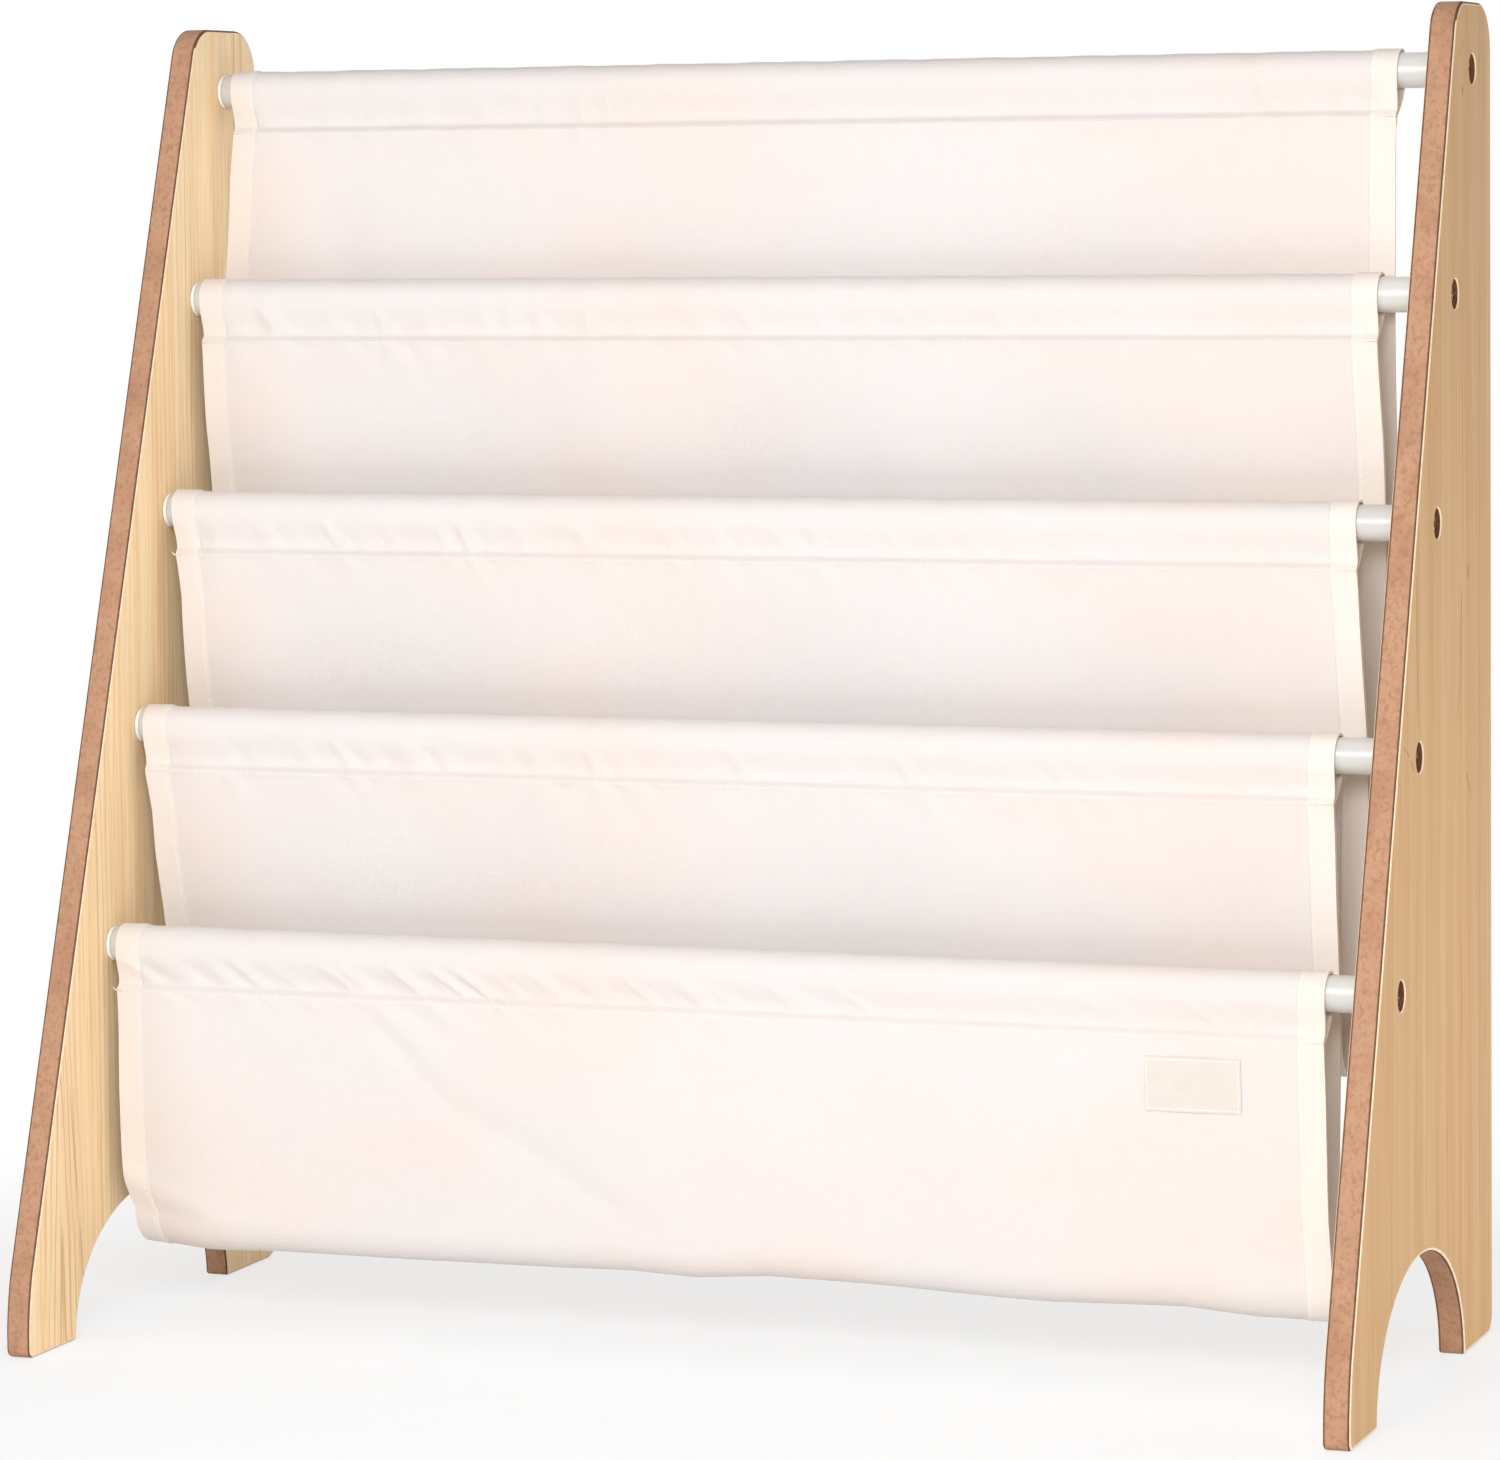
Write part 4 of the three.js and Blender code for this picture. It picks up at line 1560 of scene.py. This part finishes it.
    def wall_point(self, rod: int, ply: int, across: np.ndarray, drop: np.ndarray) -> np.ndarray:
        """Places on one ply of the cloth that hangs from a rod.

        Args:
            rod: the rod's index.
            ply: -1 for the front ply and 1 for the rear one.
            across: places across the flat cloth.
            drop: how far each place is below the rod's middle.

        Returns:
            The points, with X, Y and Z in the last axis.
        """
        x = self.across_rack(rod, across, drop)
        y = self.wall_line(rod, x, drop) + ply * self.ply_shift(across, drop)
        z = self.rods[rod][1] - drop + 0 * x
        return np.stack([x, y, z], axis=-1)

    def pocket_points(self, index: int) -> np.ndarray:
        """The grid of a pocket's cloth, from its front seam down, round its bottom and up to its back seam.

        Args:
            index: the pocket's index, 0 for the front one.

        Returns:
            The points by row and column.
        """
        across = self.columns()[None, :]
        front_z, back_z = self.rods[index][1], self.rods[index + 1][1]
        x = self.across_rack(index, across, np.array([[self.pocket_depth]]))
        if index == 0:
            lift = np.interp(x / MM, *zip(*self.front_hem_line)) * MM
        else:
            lift = 1.0 * MM * np.sin(2 * math.pi * (x - self.left) / (130 * MM) + index)
        floor = front_z - self.pocket_depth + lift
        bend = floor + self.bottom_rise
        near_seam = np.linspace(0.0, 24 * MM, 17)
        front_end = front_z - bend - self.seam_drop
        shares = np.linspace(0.0, 1.0, 24)[None, 1:].T
        upper = self.seam_drop + near_seam[:, None] + 0 * across
        lower = self.seam_drop + near_seam[-1] + shares * (front_end - near_seam[-1])
        front_drop = np.concatenate([upper, lower])
        back_end = back_z - bend - self.seam_drop
        shares = np.linspace(0.0, 1.0, 52)[None, 1:].T
        lower = self.seam_drop + near_seam[-1] + shares * (back_end - near_seam[-1])
        back_drop = np.concatenate([upper, lower])[::-1]
        front = self.wall_point(index, -1 if index == 0 else 1, across, front_drop)
        back = self.wall_point(index + 1, -1, across, back_drop)
        if index == 0:
            front = self._corner_fold(front)
        angles = np.linspace(0.0, math.pi, 26)[1:-1, None]
        start, stop = front[-1], back[0]
        level = (1 - np.cos(angles)) / 2
        x_row = start[:, 0] + (stop[:, 0] - start[:, 0]) * level
        y_row = start[:, 1] + (stop[:, 1] - start[:, 1]) * level
        z_row = bend - self.bottom_rise * np.sin(angles)
        bottom = np.stack([x_row, y_row, z_row + 0 * x_row], axis=-1)
        return np.concatenate([front, bottom, back])

    def _corner_fold(self, front: np.ndarray) -> np.ndarray:
        """Lay the soft slanting fold across the front pocket's lower left corner.

        Args:
            front: the points of the pocket's front wall.

        Returns:
            The points with the fold.
        """
        x, z = front[..., 0], front[..., 2]
        start, stop = np.array([-0.290, 0.070]), np.array([-0.196, 0.036])
        along = (stop - start) / np.linalg.norm(stop - start)
        side = (x - start[0]) * along[1] - (z - start[1]) * along[0]
        fade = 1 - ramp(x, -0.25, -0.18)
        ridge = 1.5 * MM * np.exp(-((side / (6 * MM)) ** 2))
        tucked = 4.5 * MM * ramp(side, 0.0, 22 * MM)
        moved = front.copy()
        moved[..., 1] += (tucked - ridge) * fade
        return moved

    def sleeve_points(self, rod: int) -> np.ndarray:
        """The grid of a sleeve's cloth, from its front seam up over the rod and down to its rear seam.

        Args:
            rod: the rod's index.

        Returns:
            The points by row and column.
        """
        across = self.columns()[None, :]
        half = self.half_ply(across)
        radius = self.rod_radius + 0.35 * MM + half
        forward, down = self.seam_forward, self.seam_drop
        reach = math.hypot(forward, down)
        toward = math.atan2(forward, down)
        spread = np.arcsin(radius / reach)
        straight = np.sqrt(reach**2 - radius**2)
        front_angle, rear_angle = toward - spread, toward + spread
        shift = half + 0.06 * MM
        rows = []
        for share in np.linspace(0.0, 1.0, 25)[:-1]:
            length = straight * share
            y = -forward + length * np.sin(front_angle) - shift * (1 - share)
            z = -down + length * np.cos(front_angle)
            x, lift = self._front_lift(rod, across, z)
            rows.append(np.stack([x, y - lift, z], axis=-1))
        start, stop = math.pi - front_angle, -rear_angle
        steps = 38
        for step in range(steps + 1):
            angle = start + (stop - start) * step / steps
            z = radius * np.sin(angle)
            x, lift = self._front_lift(rod, across, z)
            loose = 0.22 * MM * (1 + np.sin(x / (13 * MM) + rod) * np.sin(x / (5 * MM)))
            kept = max(0.0, 1 - 2.2 * step / steps)
            out = radius + np.maximum(lift, -0.2 * MM) * kept + loose * math.sin(math.pi * step / steps)
            rows.append(np.stack([x, out * np.cos(angle), out * np.sin(angle)], axis=-1))
        for share in np.linspace(1.0, 0.0, 13)[1:]:
            length = straight * share
            y = -forward + length * np.sin(rear_angle) + shift * (1 - share)
            y = y + self.rear_bulge * math.sin(math.pi * share)
            z = -down + length * np.cos(rear_angle)
            x = self.across_rack(rod, across, -z)
            wave = 0.5 * MM * np.sin(x / (4.3 * MM) + 1.3 * rod) * math.sin(math.pi * share)
            rows.append(np.stack([x, y + 0.6 * wave, z - 0.8 * wave], axis=-1))
        points = np.concatenate(rows)
        if rod in (0, ROD_COUNT - 1):
            hanging = np.array([2.0, 4.0])[:, None, None] * np.array([0.0, 0.0, -MM])
            points = np.concatenate([points, points[-1:] + hanging])
        seam = self.wall_line(rod, points[0, :, 0], np.full(len(across[0]), self.seam_drop))
        middle_y, middle_z = self.rods[rod]
        points[..., 1] += middle_y
        points[..., 2] += middle_z
        gap = seam - self.ply_shift(across[0], np.array([self.seam_drop])) - points[0, :, 1]
        fade = np.clip(1 - np.arange(len(points)) / 8, 0.0, 1.0)
        points[..., 1] += gap[None, :] * fade[:, None]
        return points

    def _front_lift(self, rod: int, across: np.ndarray, z: np.ndarray) -> tuple[np.ndarray, np.ndarray]:
        """Where one row of a sleeve stands.

        Args:
            rod: the rod's index.
            across: places across the flat cloth.
            z: how far each place is above the rod's middle.

        Returns:
            The X of each place, and how far the gathers and the tuck move it forward.
        """
        drop = -z + 0 * across
        x = self.across_rack(rod, across, drop)
        creases = np.maximum(self.creases(rod, x, drop), -0.5 * MM * ramp(drop, 4 * MM, 12 * MM))
        tucked = self.tuck * (1 - 0.25 * self.hem_share(across)) * ramp(drop, 2 * MM, 16.5 * MM)
        return x, creases - tucked * ramp(drop, self.seam_drop - 0.1 * MM, 17.2 * MM)

    def build(self) -> None:
        """Build and dress every sleeve, pocket and seam."""
        cloth, thread = SlingWeave(width=self.width, hem=self.hem).material(), SewingThread().material()
        for rod in range(ROD_COUNT):
            points = self.sleeve_points(rod)
            sleeve = self._sheet(f"sleeve_cloth_{rod + 1}", points, cloth)
            seams = self._sleeve_stitches(rod, points)
            sewn = self.stitching(f"seam_thread_{rod + 1}", seams, thread)
            dress(sleeve, Slot.CLOTH, f"sleeve_{rod + 1}")
            flat = (self.width, self._length(points))
            log.info("sleeve %d is cut %.0f by %.0f mm", rod + 1, flat[0] / MM, flat[1] / MM)
        for index in range(POCKET_COUNT):
            points = self.pocket_points(index)
            pocket = self._sheet(f"pocket_cloth_{index + 1}", points, cloth)
            sewn = self.stitching(f"hem_thread_{index + 1}", self._hem_stitches(points), thread)
            dress(pocket, Slot.CLOTH, f"pocket_{index + 1}")
            flat = (self.width, self._length(points))
            log.info("pocket %d is cut %.0f by %.0f mm", index + 1, flat[0] / MM, flat[1] / MM)

    def _length(self, points: np.ndarray) -> float:
        """The cloth's length along its middle column."""
        line = points[:, points.shape[1] // 2]
        return float(np.linalg.norm(np.diff(line, axis=0), axis=1).sum())

    def _sheet(self, name: str, points: np.ndarray, material: bpy.types.Material) -> bpy.types.Object:
        """Make a grid of points a piece of cloth, doubled in its hems.

        Args:
            name: the piece's name.
            points: the points by row and column.
            material: the cloth's material.

        Returns:
            The finished cloth.
        """
        across = self.columns()
        along = lengths_along(points[:, points.shape[1] // 2])
        flat = np.stack(np.meshgrid(across, along), axis=-1)
        piece = grid_piece(name, points, flat)
        group = piece.vertex_groups.new(name="hem")
        doubled = np.flatnonzero(np.tile(self.hem_share(across), len(along)) > 0.5)
        group.add(doubled.tolist(), 1.0, "REPLACE")
        apply_modifier(
            piece,
            "SOLIDIFY",
            thickness=2 * self.ply,
            offset=0.0,
            use_even_offset=True,
            vertex_group="hem",
            thickness_vertex_group=0.5,
        )
        paint(piece, material)
        smooth(piece, 42)
        return piece

    def _sleeve_stitches(self, rod: int, points: np.ndarray) -> list[Stitch]:
        """Lay out a rod's seam: stitches on both faces of the plies, a hem at each end, and a loose end.

        Args:
            rod: the rod's index.
            points: the sleeve's grid.

        Returns:
            Each stitch as its middle, its direction and its outward direction.
        """
        made = []
        across = np.arange(self.seam_inset, self.width - self.seam_inset, self.stitch_pitch)
        drop = np.full(len(across), self.seam_drop)
        proud = self.half_ply(across) + 0.4 * self.thread_radius
        for ply in (-1, 1):
            out = np.array([0.0, ply, 0.0])
            here = self.wall_point(rod, ply, across, drop) + out * proud[:, None]
            ahead = self.wall_point(rod, ply, across + MM, drop) + out * proud[:, None]
            made += [(middle, step, out) for middle, step in zip(here, ahead - here)]
        if rod in self.loose_ends:
            made += self._loose_end(rod)
        made += self._hem_stitches(points)
        return made

    def _loose_end(self, rod: int) -> list[Stitch]:
        """Lay out the short curled end of thread past the cloth's left end, where the seam starts.

        Args:
            rod: the rod's index.

        Returns:
            Each stitch as its middle, its direction and its outward direction.
        """
        start = self.wall_point(rod, -1, np.array([0.0]), np.array([self.seam_drop]))[0]
        made = []
        for turn in (0.2, 0.8):
            step = np.array([-math.cos(turn), -0.1, math.sin(turn)])
            made.append((start + step * self.stitch_length * 0.2, step, np.array([0.0, -1.0, 0.1])))
            start = start + step * self.stitch_length * 0.4
        return made

    def _hem_stitches(self, points: np.ndarray) -> list[Stitch]:
        """Lay out the stitches along both hems of a grid, on both of its faces.

        Args:
            points: the grid of a sleeve or a pocket.

        Returns:
            Each stitch as its middle, its direction and its outward direction.
        """
        made = []
        across = self.columns()
        for seam in (self.hem_seam, self.width - self.hem_seam):
            column = np.argmin(abs(across - seam))
            line, beside = points[:, column], points[:, column + 1]
            lengths = lengths_along(line)
            for place in np.arange(2 * MM, lengths[-1] - 2 * MM, self.stitch_pitch):
                here = point_at(line, lengths, place)
                ahead = point_at(line, lengths, place + 0.5 * MM)
                aside = point_at(beside, lengths, place) - here
                out = np.cross(ahead - here, aside)
                out = out / np.linalg.norm(out)
                for face in (-1, 1):
                    shift = face * out * (self.ply + 0.4 * self.thread_radius)
                    made.append((here + shift, ahead - here, face * out))
        return made

    def stitching(self, name: str, stitches: list[Stitch], material: bpy.types.Material) -> bpy.types.Object:
        """Copy one small stitch to every place of a seam, as one piece.

        Args:
            name: the piece's name.
            stitches: each stitch's middle, direction and outward direction.
            material: the thread's material.

        Returns:
            The dressed piece.
        """
        corners, faces = one_stitch(self.stitch_length, self.thread_radius)
        all_corners, all_faces = [], []
        for number, (middle, ahead, out) in enumerate(stitches):
            ahead = ahead / np.linalg.norm(ahead)
            out = out - ahead * float(out @ ahead)
            out = out / np.linalg.norm(out)
            side = np.cross(out, ahead)
            all_corners.append(corners @ np.stack([ahead, side, out]) + middle)
            all_faces += [tuple(corner + number * len(corners) for corner in face) for face in faces]
        mesh = bpy.data.meshes.new(name)
        mesh.from_pydata(np.concatenate(all_corners).tolist(), [], all_faces)
        piece = bpy.data.objects.new(name, mesh)
        bpy.context.scene.collection.objects.link(piece)
        paint(piece, material)
        mesh.shade_smooth()
        return dress(piece, Slot.CLOTH)


def one_stitch(length: float, radius: float) -> tuple[np.ndarray, list[tuple[int, ...]]]:
    """Shape one stitch: a short bead that dips into the cloth at both ends.

    Args:
        length: its length.
        radius: its thread's radius.

    Returns:
        Its corners, along X with Z outwards, and its faces.
    """
    bpy.ops.mesh.primitive_uv_sphere_add(
        segments=6, ring_count=5, radius=radius, rotation=(0, math.pi / 2, 0)
    )
    bead = settle(bpy.context.object)
    corners = np.array([corner.co for corner in bead.data.vertices])
    faces = [tuple(face.vertices) for face in bead.data.polygons]
    corners[:, 0] = np.sign(corners[:, 0]) * np.sqrt(np.abs(corners[:, 0]) / radius) * length / 2
    corners[:, 2] -= radius * (2 * corners[:, 0] / length) ** 2
    bpy.data.objects.remove(bead)
    return corners, faces


def grid_piece(name: str, points: np.ndarray, flat: np.ndarray) -> bpy.types.Object:
    """Make a mesh from a grid of points, with its flat places as its UV map.

    Args:
        name: the new piece's name.
        points: the points by row and column.
        flat: the flat places, across and along, by row and column.

    Returns:
        The new object.
    """
    rows, columns = points.shape[:2]
    index = np.arange(rows * columns).reshape(rows, columns)
    faces = np.stack([index[1:, :-1], index[1:, 1:], index[:-1, 1:], index[:-1, :-1]], axis=-1).reshape(-1, 4)
    mesh = bpy.data.meshes.new(name)
    mesh.from_pydata(points.reshape(-1, 3).tolist(), [], faces.tolist())
    layer = mesh.uv_layers.new(name="flat_cloth")
    corners = flat.reshape(-1, 2)[faces.reshape(-1)]
    layer.data.foreach_set("uv", corners.reshape(-1).astype(np.float32))
    mesh.update()
    piece = bpy.data.objects.new(name, mesh)
    bpy.context.scene.collection.objects.link(piece)
    return piece


@dataclass
class Label:
    """The small bare label sewn on the front pocket, under its right end."""

    sling: Sling
    left: float = 0.200
    right: float = 0.243
    top_drop: float = 29 * MM
    height: float = 24 * MM
    thickness: float = 0.4 * MM
    border: float = 1.3 * MM
    columns: int = 44
    rows: int = 25
    crown: float = 0.25 * MM
    edge_ease: float = 0.12 * MM
    stitch_pitch: float = 2.2 * MM

    def build(self) -> None:
        """Lay the label on the pocket's wall, sew round it and dress it."""
        sling = self.sling
        across = np.linspace(self.left, self.right, self.columns) - sling.left
        drops = np.linspace(self.top_drop, self.top_drop + self.height, self.rows)
        points = sling.wall_point(0, -1, across[None, :], drops[:, None])
        proud = sling.ply / 2 + self.thickness / 2 + 0.1 * MM
        points[..., 1] -= proud
        points[..., 1] -= self.crown * np.sin(np.linspace(0, math.pi, self.columns))[None, :] ** 2
        flat = np.stack(np.meshgrid(across - across[0], drops - drops[0]), axis=-1)
        label = grid_piece("label_tape", points, flat)
        apply_modifier(label, "SOLIDIFY", thickness=self.thickness, offset=0.0, use_even_offset=True)
        corner = math.radians(60)
        apply_modifier(
            label, "BEVEL", width=self.edge_ease, segments=2, limit_method="ANGLE", angle_limit=corner
        )
        paint(label, LabelTape().material())
        smooth(label, 42)
        sewn = sling.stitching("label_thread", self._stitches(points), SewingThread().material())
        dress(label, Slot.LABEL, "label")
        width, height = self.right - self.left, self.height

    def _stitches(self, points: np.ndarray) -> list[Stitch]:
        """Lay out the stitches round the label, just inside its edge.

        Args:
            points: the label's grid.

        Returns:
            Each stitch as its middle, its direction and its outward direction.
        """
        out = np.array([0.0, -1.0, 0.0])
        inset, pitch = self.border, self.stitch_pitch
        width, height = self.right - self.left, self.height
        starts, steps = [], []
        for down in (inset, height - inset):
            for across in np.arange(inset, width - inset, pitch):
                starts.append((across, down))
                steps.append((MM / 2, 0.0))
        for across in (inset, width - inset):
            for down in np.arange(inset + pitch / 2, height - inset, pitch):
                starts.append((across, down))
                steps.append((0.0, MM / 2))
        made = []
        for (across, down), (aside, below) in zip(starts, steps):
            here = self._on_face(points, across, down, out)
            made.append((here, self._on_face(points, across + aside, down + below, out) - here, out))
        return made

    def _on_face(self, points: np.ndarray, across: float, down: float, out: np.ndarray) -> np.ndarray:
        """Find a place on the label's outer face, a little proud of it.

        Args:
            points: the label's grid.
            across: how far the place is from the label's left end.
            down: how far it is from the label's top.
            out: the outward direction.

        Returns:
            The place.
        """
        column = across / (self.right - self.left) * (self.columns - 1)
        row = down / self.height * (self.rows - 1)
        near_row, near_column = min(int(row), self.rows - 2), min(int(column), self.columns - 2)
        low = points[near_row, near_column]
        right = points[near_row, near_column + 1] - low
        below = points[near_row + 1, near_column] - low
        place = low + right * (column - near_column) + below * (row - near_row)
        return place + out * (self.thickness / 2 + 0.08 * MM)


# The studio


@dataclass(frozen=True)
class Viewpoint:
    """The camera, at the place and turn that were fitted to the rack's outline."""

    place: tuple[float, float, float] = (0.880017, -2.327030, 0.523428)
    turn: float = math.radians(20.6547)
    down: float = math.radians(4.3691)
    tilt: float = math.radians(-0.6680)
    lens: float = 133.602
    sensor: float = 36.0
    rise: float = -0.08

    def set_up(self) -> None:
        """Add the camera and make it the scene's."""
        flat = math.cos(self.down)
        ahead = Vector((-math.sin(self.turn) * flat, math.cos(self.turn) * flat, -math.sin(self.down)))
        right = Vector((math.cos(self.turn), math.sin(self.turn), 0))
        up = right.cross(ahead)
        level, raised = math.cos(self.tilt), math.sin(self.tilt)
        side, top = level * right + raised * up, level * up - raised * right
        data = bpy.data.cameras.new("photo_camera")
        data.lens = self.lens
        data.sensor_width = self.sensor
        data.sensor_fit = "HORIZONTAL"
        data.shift_y = self.rise
        camera = bpy.data.objects.new("photo_camera", data)
        matrix = Matrix((side, top, -ahead)).transposed().to_4x4()
        matrix.translation = self.place
        camera.matrix_world = matrix
        bpy.context.scene.collection.objects.link(camera)
        bpy.context.scene.camera = camera


@dataclass(frozen=True)
class Lamp:
    """One soft rectangular lamp."""

    name: str
    place: tuple[float, float, float]
    aim: tuple[float, float, float]
    width: float
    height: float
    power: float
    tint: tuple[float, float, float] = (1.0, 1.0, 1.0)

    def set_up(self) -> None:
        """Add the lamp."""
        data = bpy.data.lights.new(self.name, "AREA")
        data.shape = "RECTANGLE"
        data.size = self.width
        data.size_y = self.height
        data.energy = self.power
        data.color = self.tint
        lamp = bpy.data.objects.new(self.name, data)
        lamp.location = self.place
        lamp.rotation_euler = (Vector(self.aim) - Vector(self.place)).to_track_quat("-Z", "Y").to_euler()
        bpy.context.scene.collection.objects.link(lamp)


def seen_directly(tree: bpy.types.NodeTree) -> bpy.types.NodeSocket:
    """Tell what is looked at from what only gives light.

    Args:
        tree: the node tree that asks.

    Returns:
        1 to the camera, to gloss and through clear pieces, and 0 to the light that falls on cloth and wood.
    """
    rays = tree.nodes.new("ShaderNodeLightPath").outputs
    seen = rays["Is Camera Ray"]
    for operation, kind in (("MAXIMUM", "Glossy"), ("MAXIMUM", "Transmission"), ("SUBTRACT", "Diffuse")):
        step = tree.nodes.new("ShaderNodeMath")
        step.operation = operation
        step.use_clamp = True
        tree.links.new(seen, step.inputs[0])
        tree.links.new(rays[f"Is {kind} Ray"], step.inputs[1])
        seen = step.outputs[0]
    return seen


@dataclass
class Studio:
    """The pale floor, the soft lamps and the white surroundings."""

    floor_size: float = 9.0
    floor_drop: float = 0.2 * MM
    white_share: float = 0.66
    fade_from: float = 0.35
    fade_to: float = 0.7
    ambient: float = 0.42
    lamps: tuple[Lamp, ...] = (
        Lamp("key", (0.34, -1.5, 0.76), (-0.08, 0.0, 0.3), 1.0, 0.4, 18.6),
        Lamp("fill_left", (-1.3, -1.5, 0.7), (0.2, 0.0, 0.3), 0.9, 0.9, 5.5),
        Lamp("top", (-0.3, -0.2, 2.2), (0.0, 0.0, 0.3), 1.2, 1.2, 1.6),
        Lamp("rear", (0.0, 1.9, 0.9), (0.0, 0.0, 0.3), 1.0, 1.0, 7.0),
        Lamp("low_right", (0.95, 0.1, 0.06), (0.311, 0.0, 0.05), 0.4, 0.3, 2.6, (0.86, 0.94, 1.0)),
    )

    def build(self) -> None:
        """Set up the floor, the surroundings and the lamps."""
        self._floor()
        self._surroundings()
        for lamp in self.lamps:
            lamp.set_up()
        bpy.context.scene.view_settings.view_transform = "Standard"

    def _floor(self) -> None:
        """Lay a pale floor that keeps the rack's shadow and fades to white away from it."""
        bpy.ops.mesh.primitive_plane_add(size=self.floor_size, location=(0, 0, -self.floor_drop))
        floor = settle(bpy.context.object)
        floor.name = "studio_floor"
        mix = Paint("studio_floor_white", roughness=0.9, Specular_IOR_Level=0.1)
        across, ahead, _ = mix.parts(mix.place)
        grit = mix.noise(mix.place, 40.0, 2.0)
        mix.colour(mix.blend(shade_of(250, 250, 250), shade_of(246, 246, 246), grit))
        far = mix.math("SQRT", across * across + ahead * ahead)
        fade = mix.eased(far, self.fade_from, self.fade_to)
        share = Signal(mix, seen_directly(mix.tree)) * (self.white_share + (1 - self.white_share) * fade)
        mix.laid_over(share, mix.node("ShaderNodeEmission", inputs={"Strength": 1.0}))
        paint(floor, mix.material)

    def _surroundings(self) -> None:
        """Make the world white where it is looked at, and an even soft light to cloth and wood."""
        world = bpy.data.worlds.new("studio_white")
        bpy.context.scene.world = world
        world.use_nodes = True
        tree = world.node_tree
        tree.nodes.clear()
        mixed = tree.nodes.new("ShaderNodeMixShader")
        tree.links.new(seen_directly(tree), mixed.inputs[0])
        for number, strength in enumerate((self.ambient, 1.0), 1):
            white = tree.nodes.new("ShaderNodeBackground")
            white.inputs["Color"].default_value = (1.0, 1.0, 1.0, 1.0)
            white.inputs["Strength"].default_value = strength
            tree.links.new(white.outputs[0], mixed.inputs[number])
        output = tree.nodes.new("ShaderNodeOutputWorld")
        tree.links.new(mixed.outputs[0], output.inputs["Surface"])


def rod_places() -> list[tuple[float, float]]:
    """Read where the rods lie in the frame.

    Returns:
        The Y and Z of each rod's middle, lowest first.
    """
    places = []
    for number in range(1, ROD_COUNT + 1):
        low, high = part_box(f"rod_{number}")
        middle = (low + high) / 2
        places.append((middle.y, middle.z))
    return places


def main() -> None:
    """Build the rack on its frame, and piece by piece."""
    logging.basicConfig(level=logging.INFO, format="%(message)s")
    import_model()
    rods = rod_places()
    Viewpoint().set_up()
    SidePanels().build(rods)
    Rods().build(rods)
    sling = Sling(rods)
    sling.build()
    Label(sling).build()
    Studio().build()


if __name__ == "__main__":
    main()
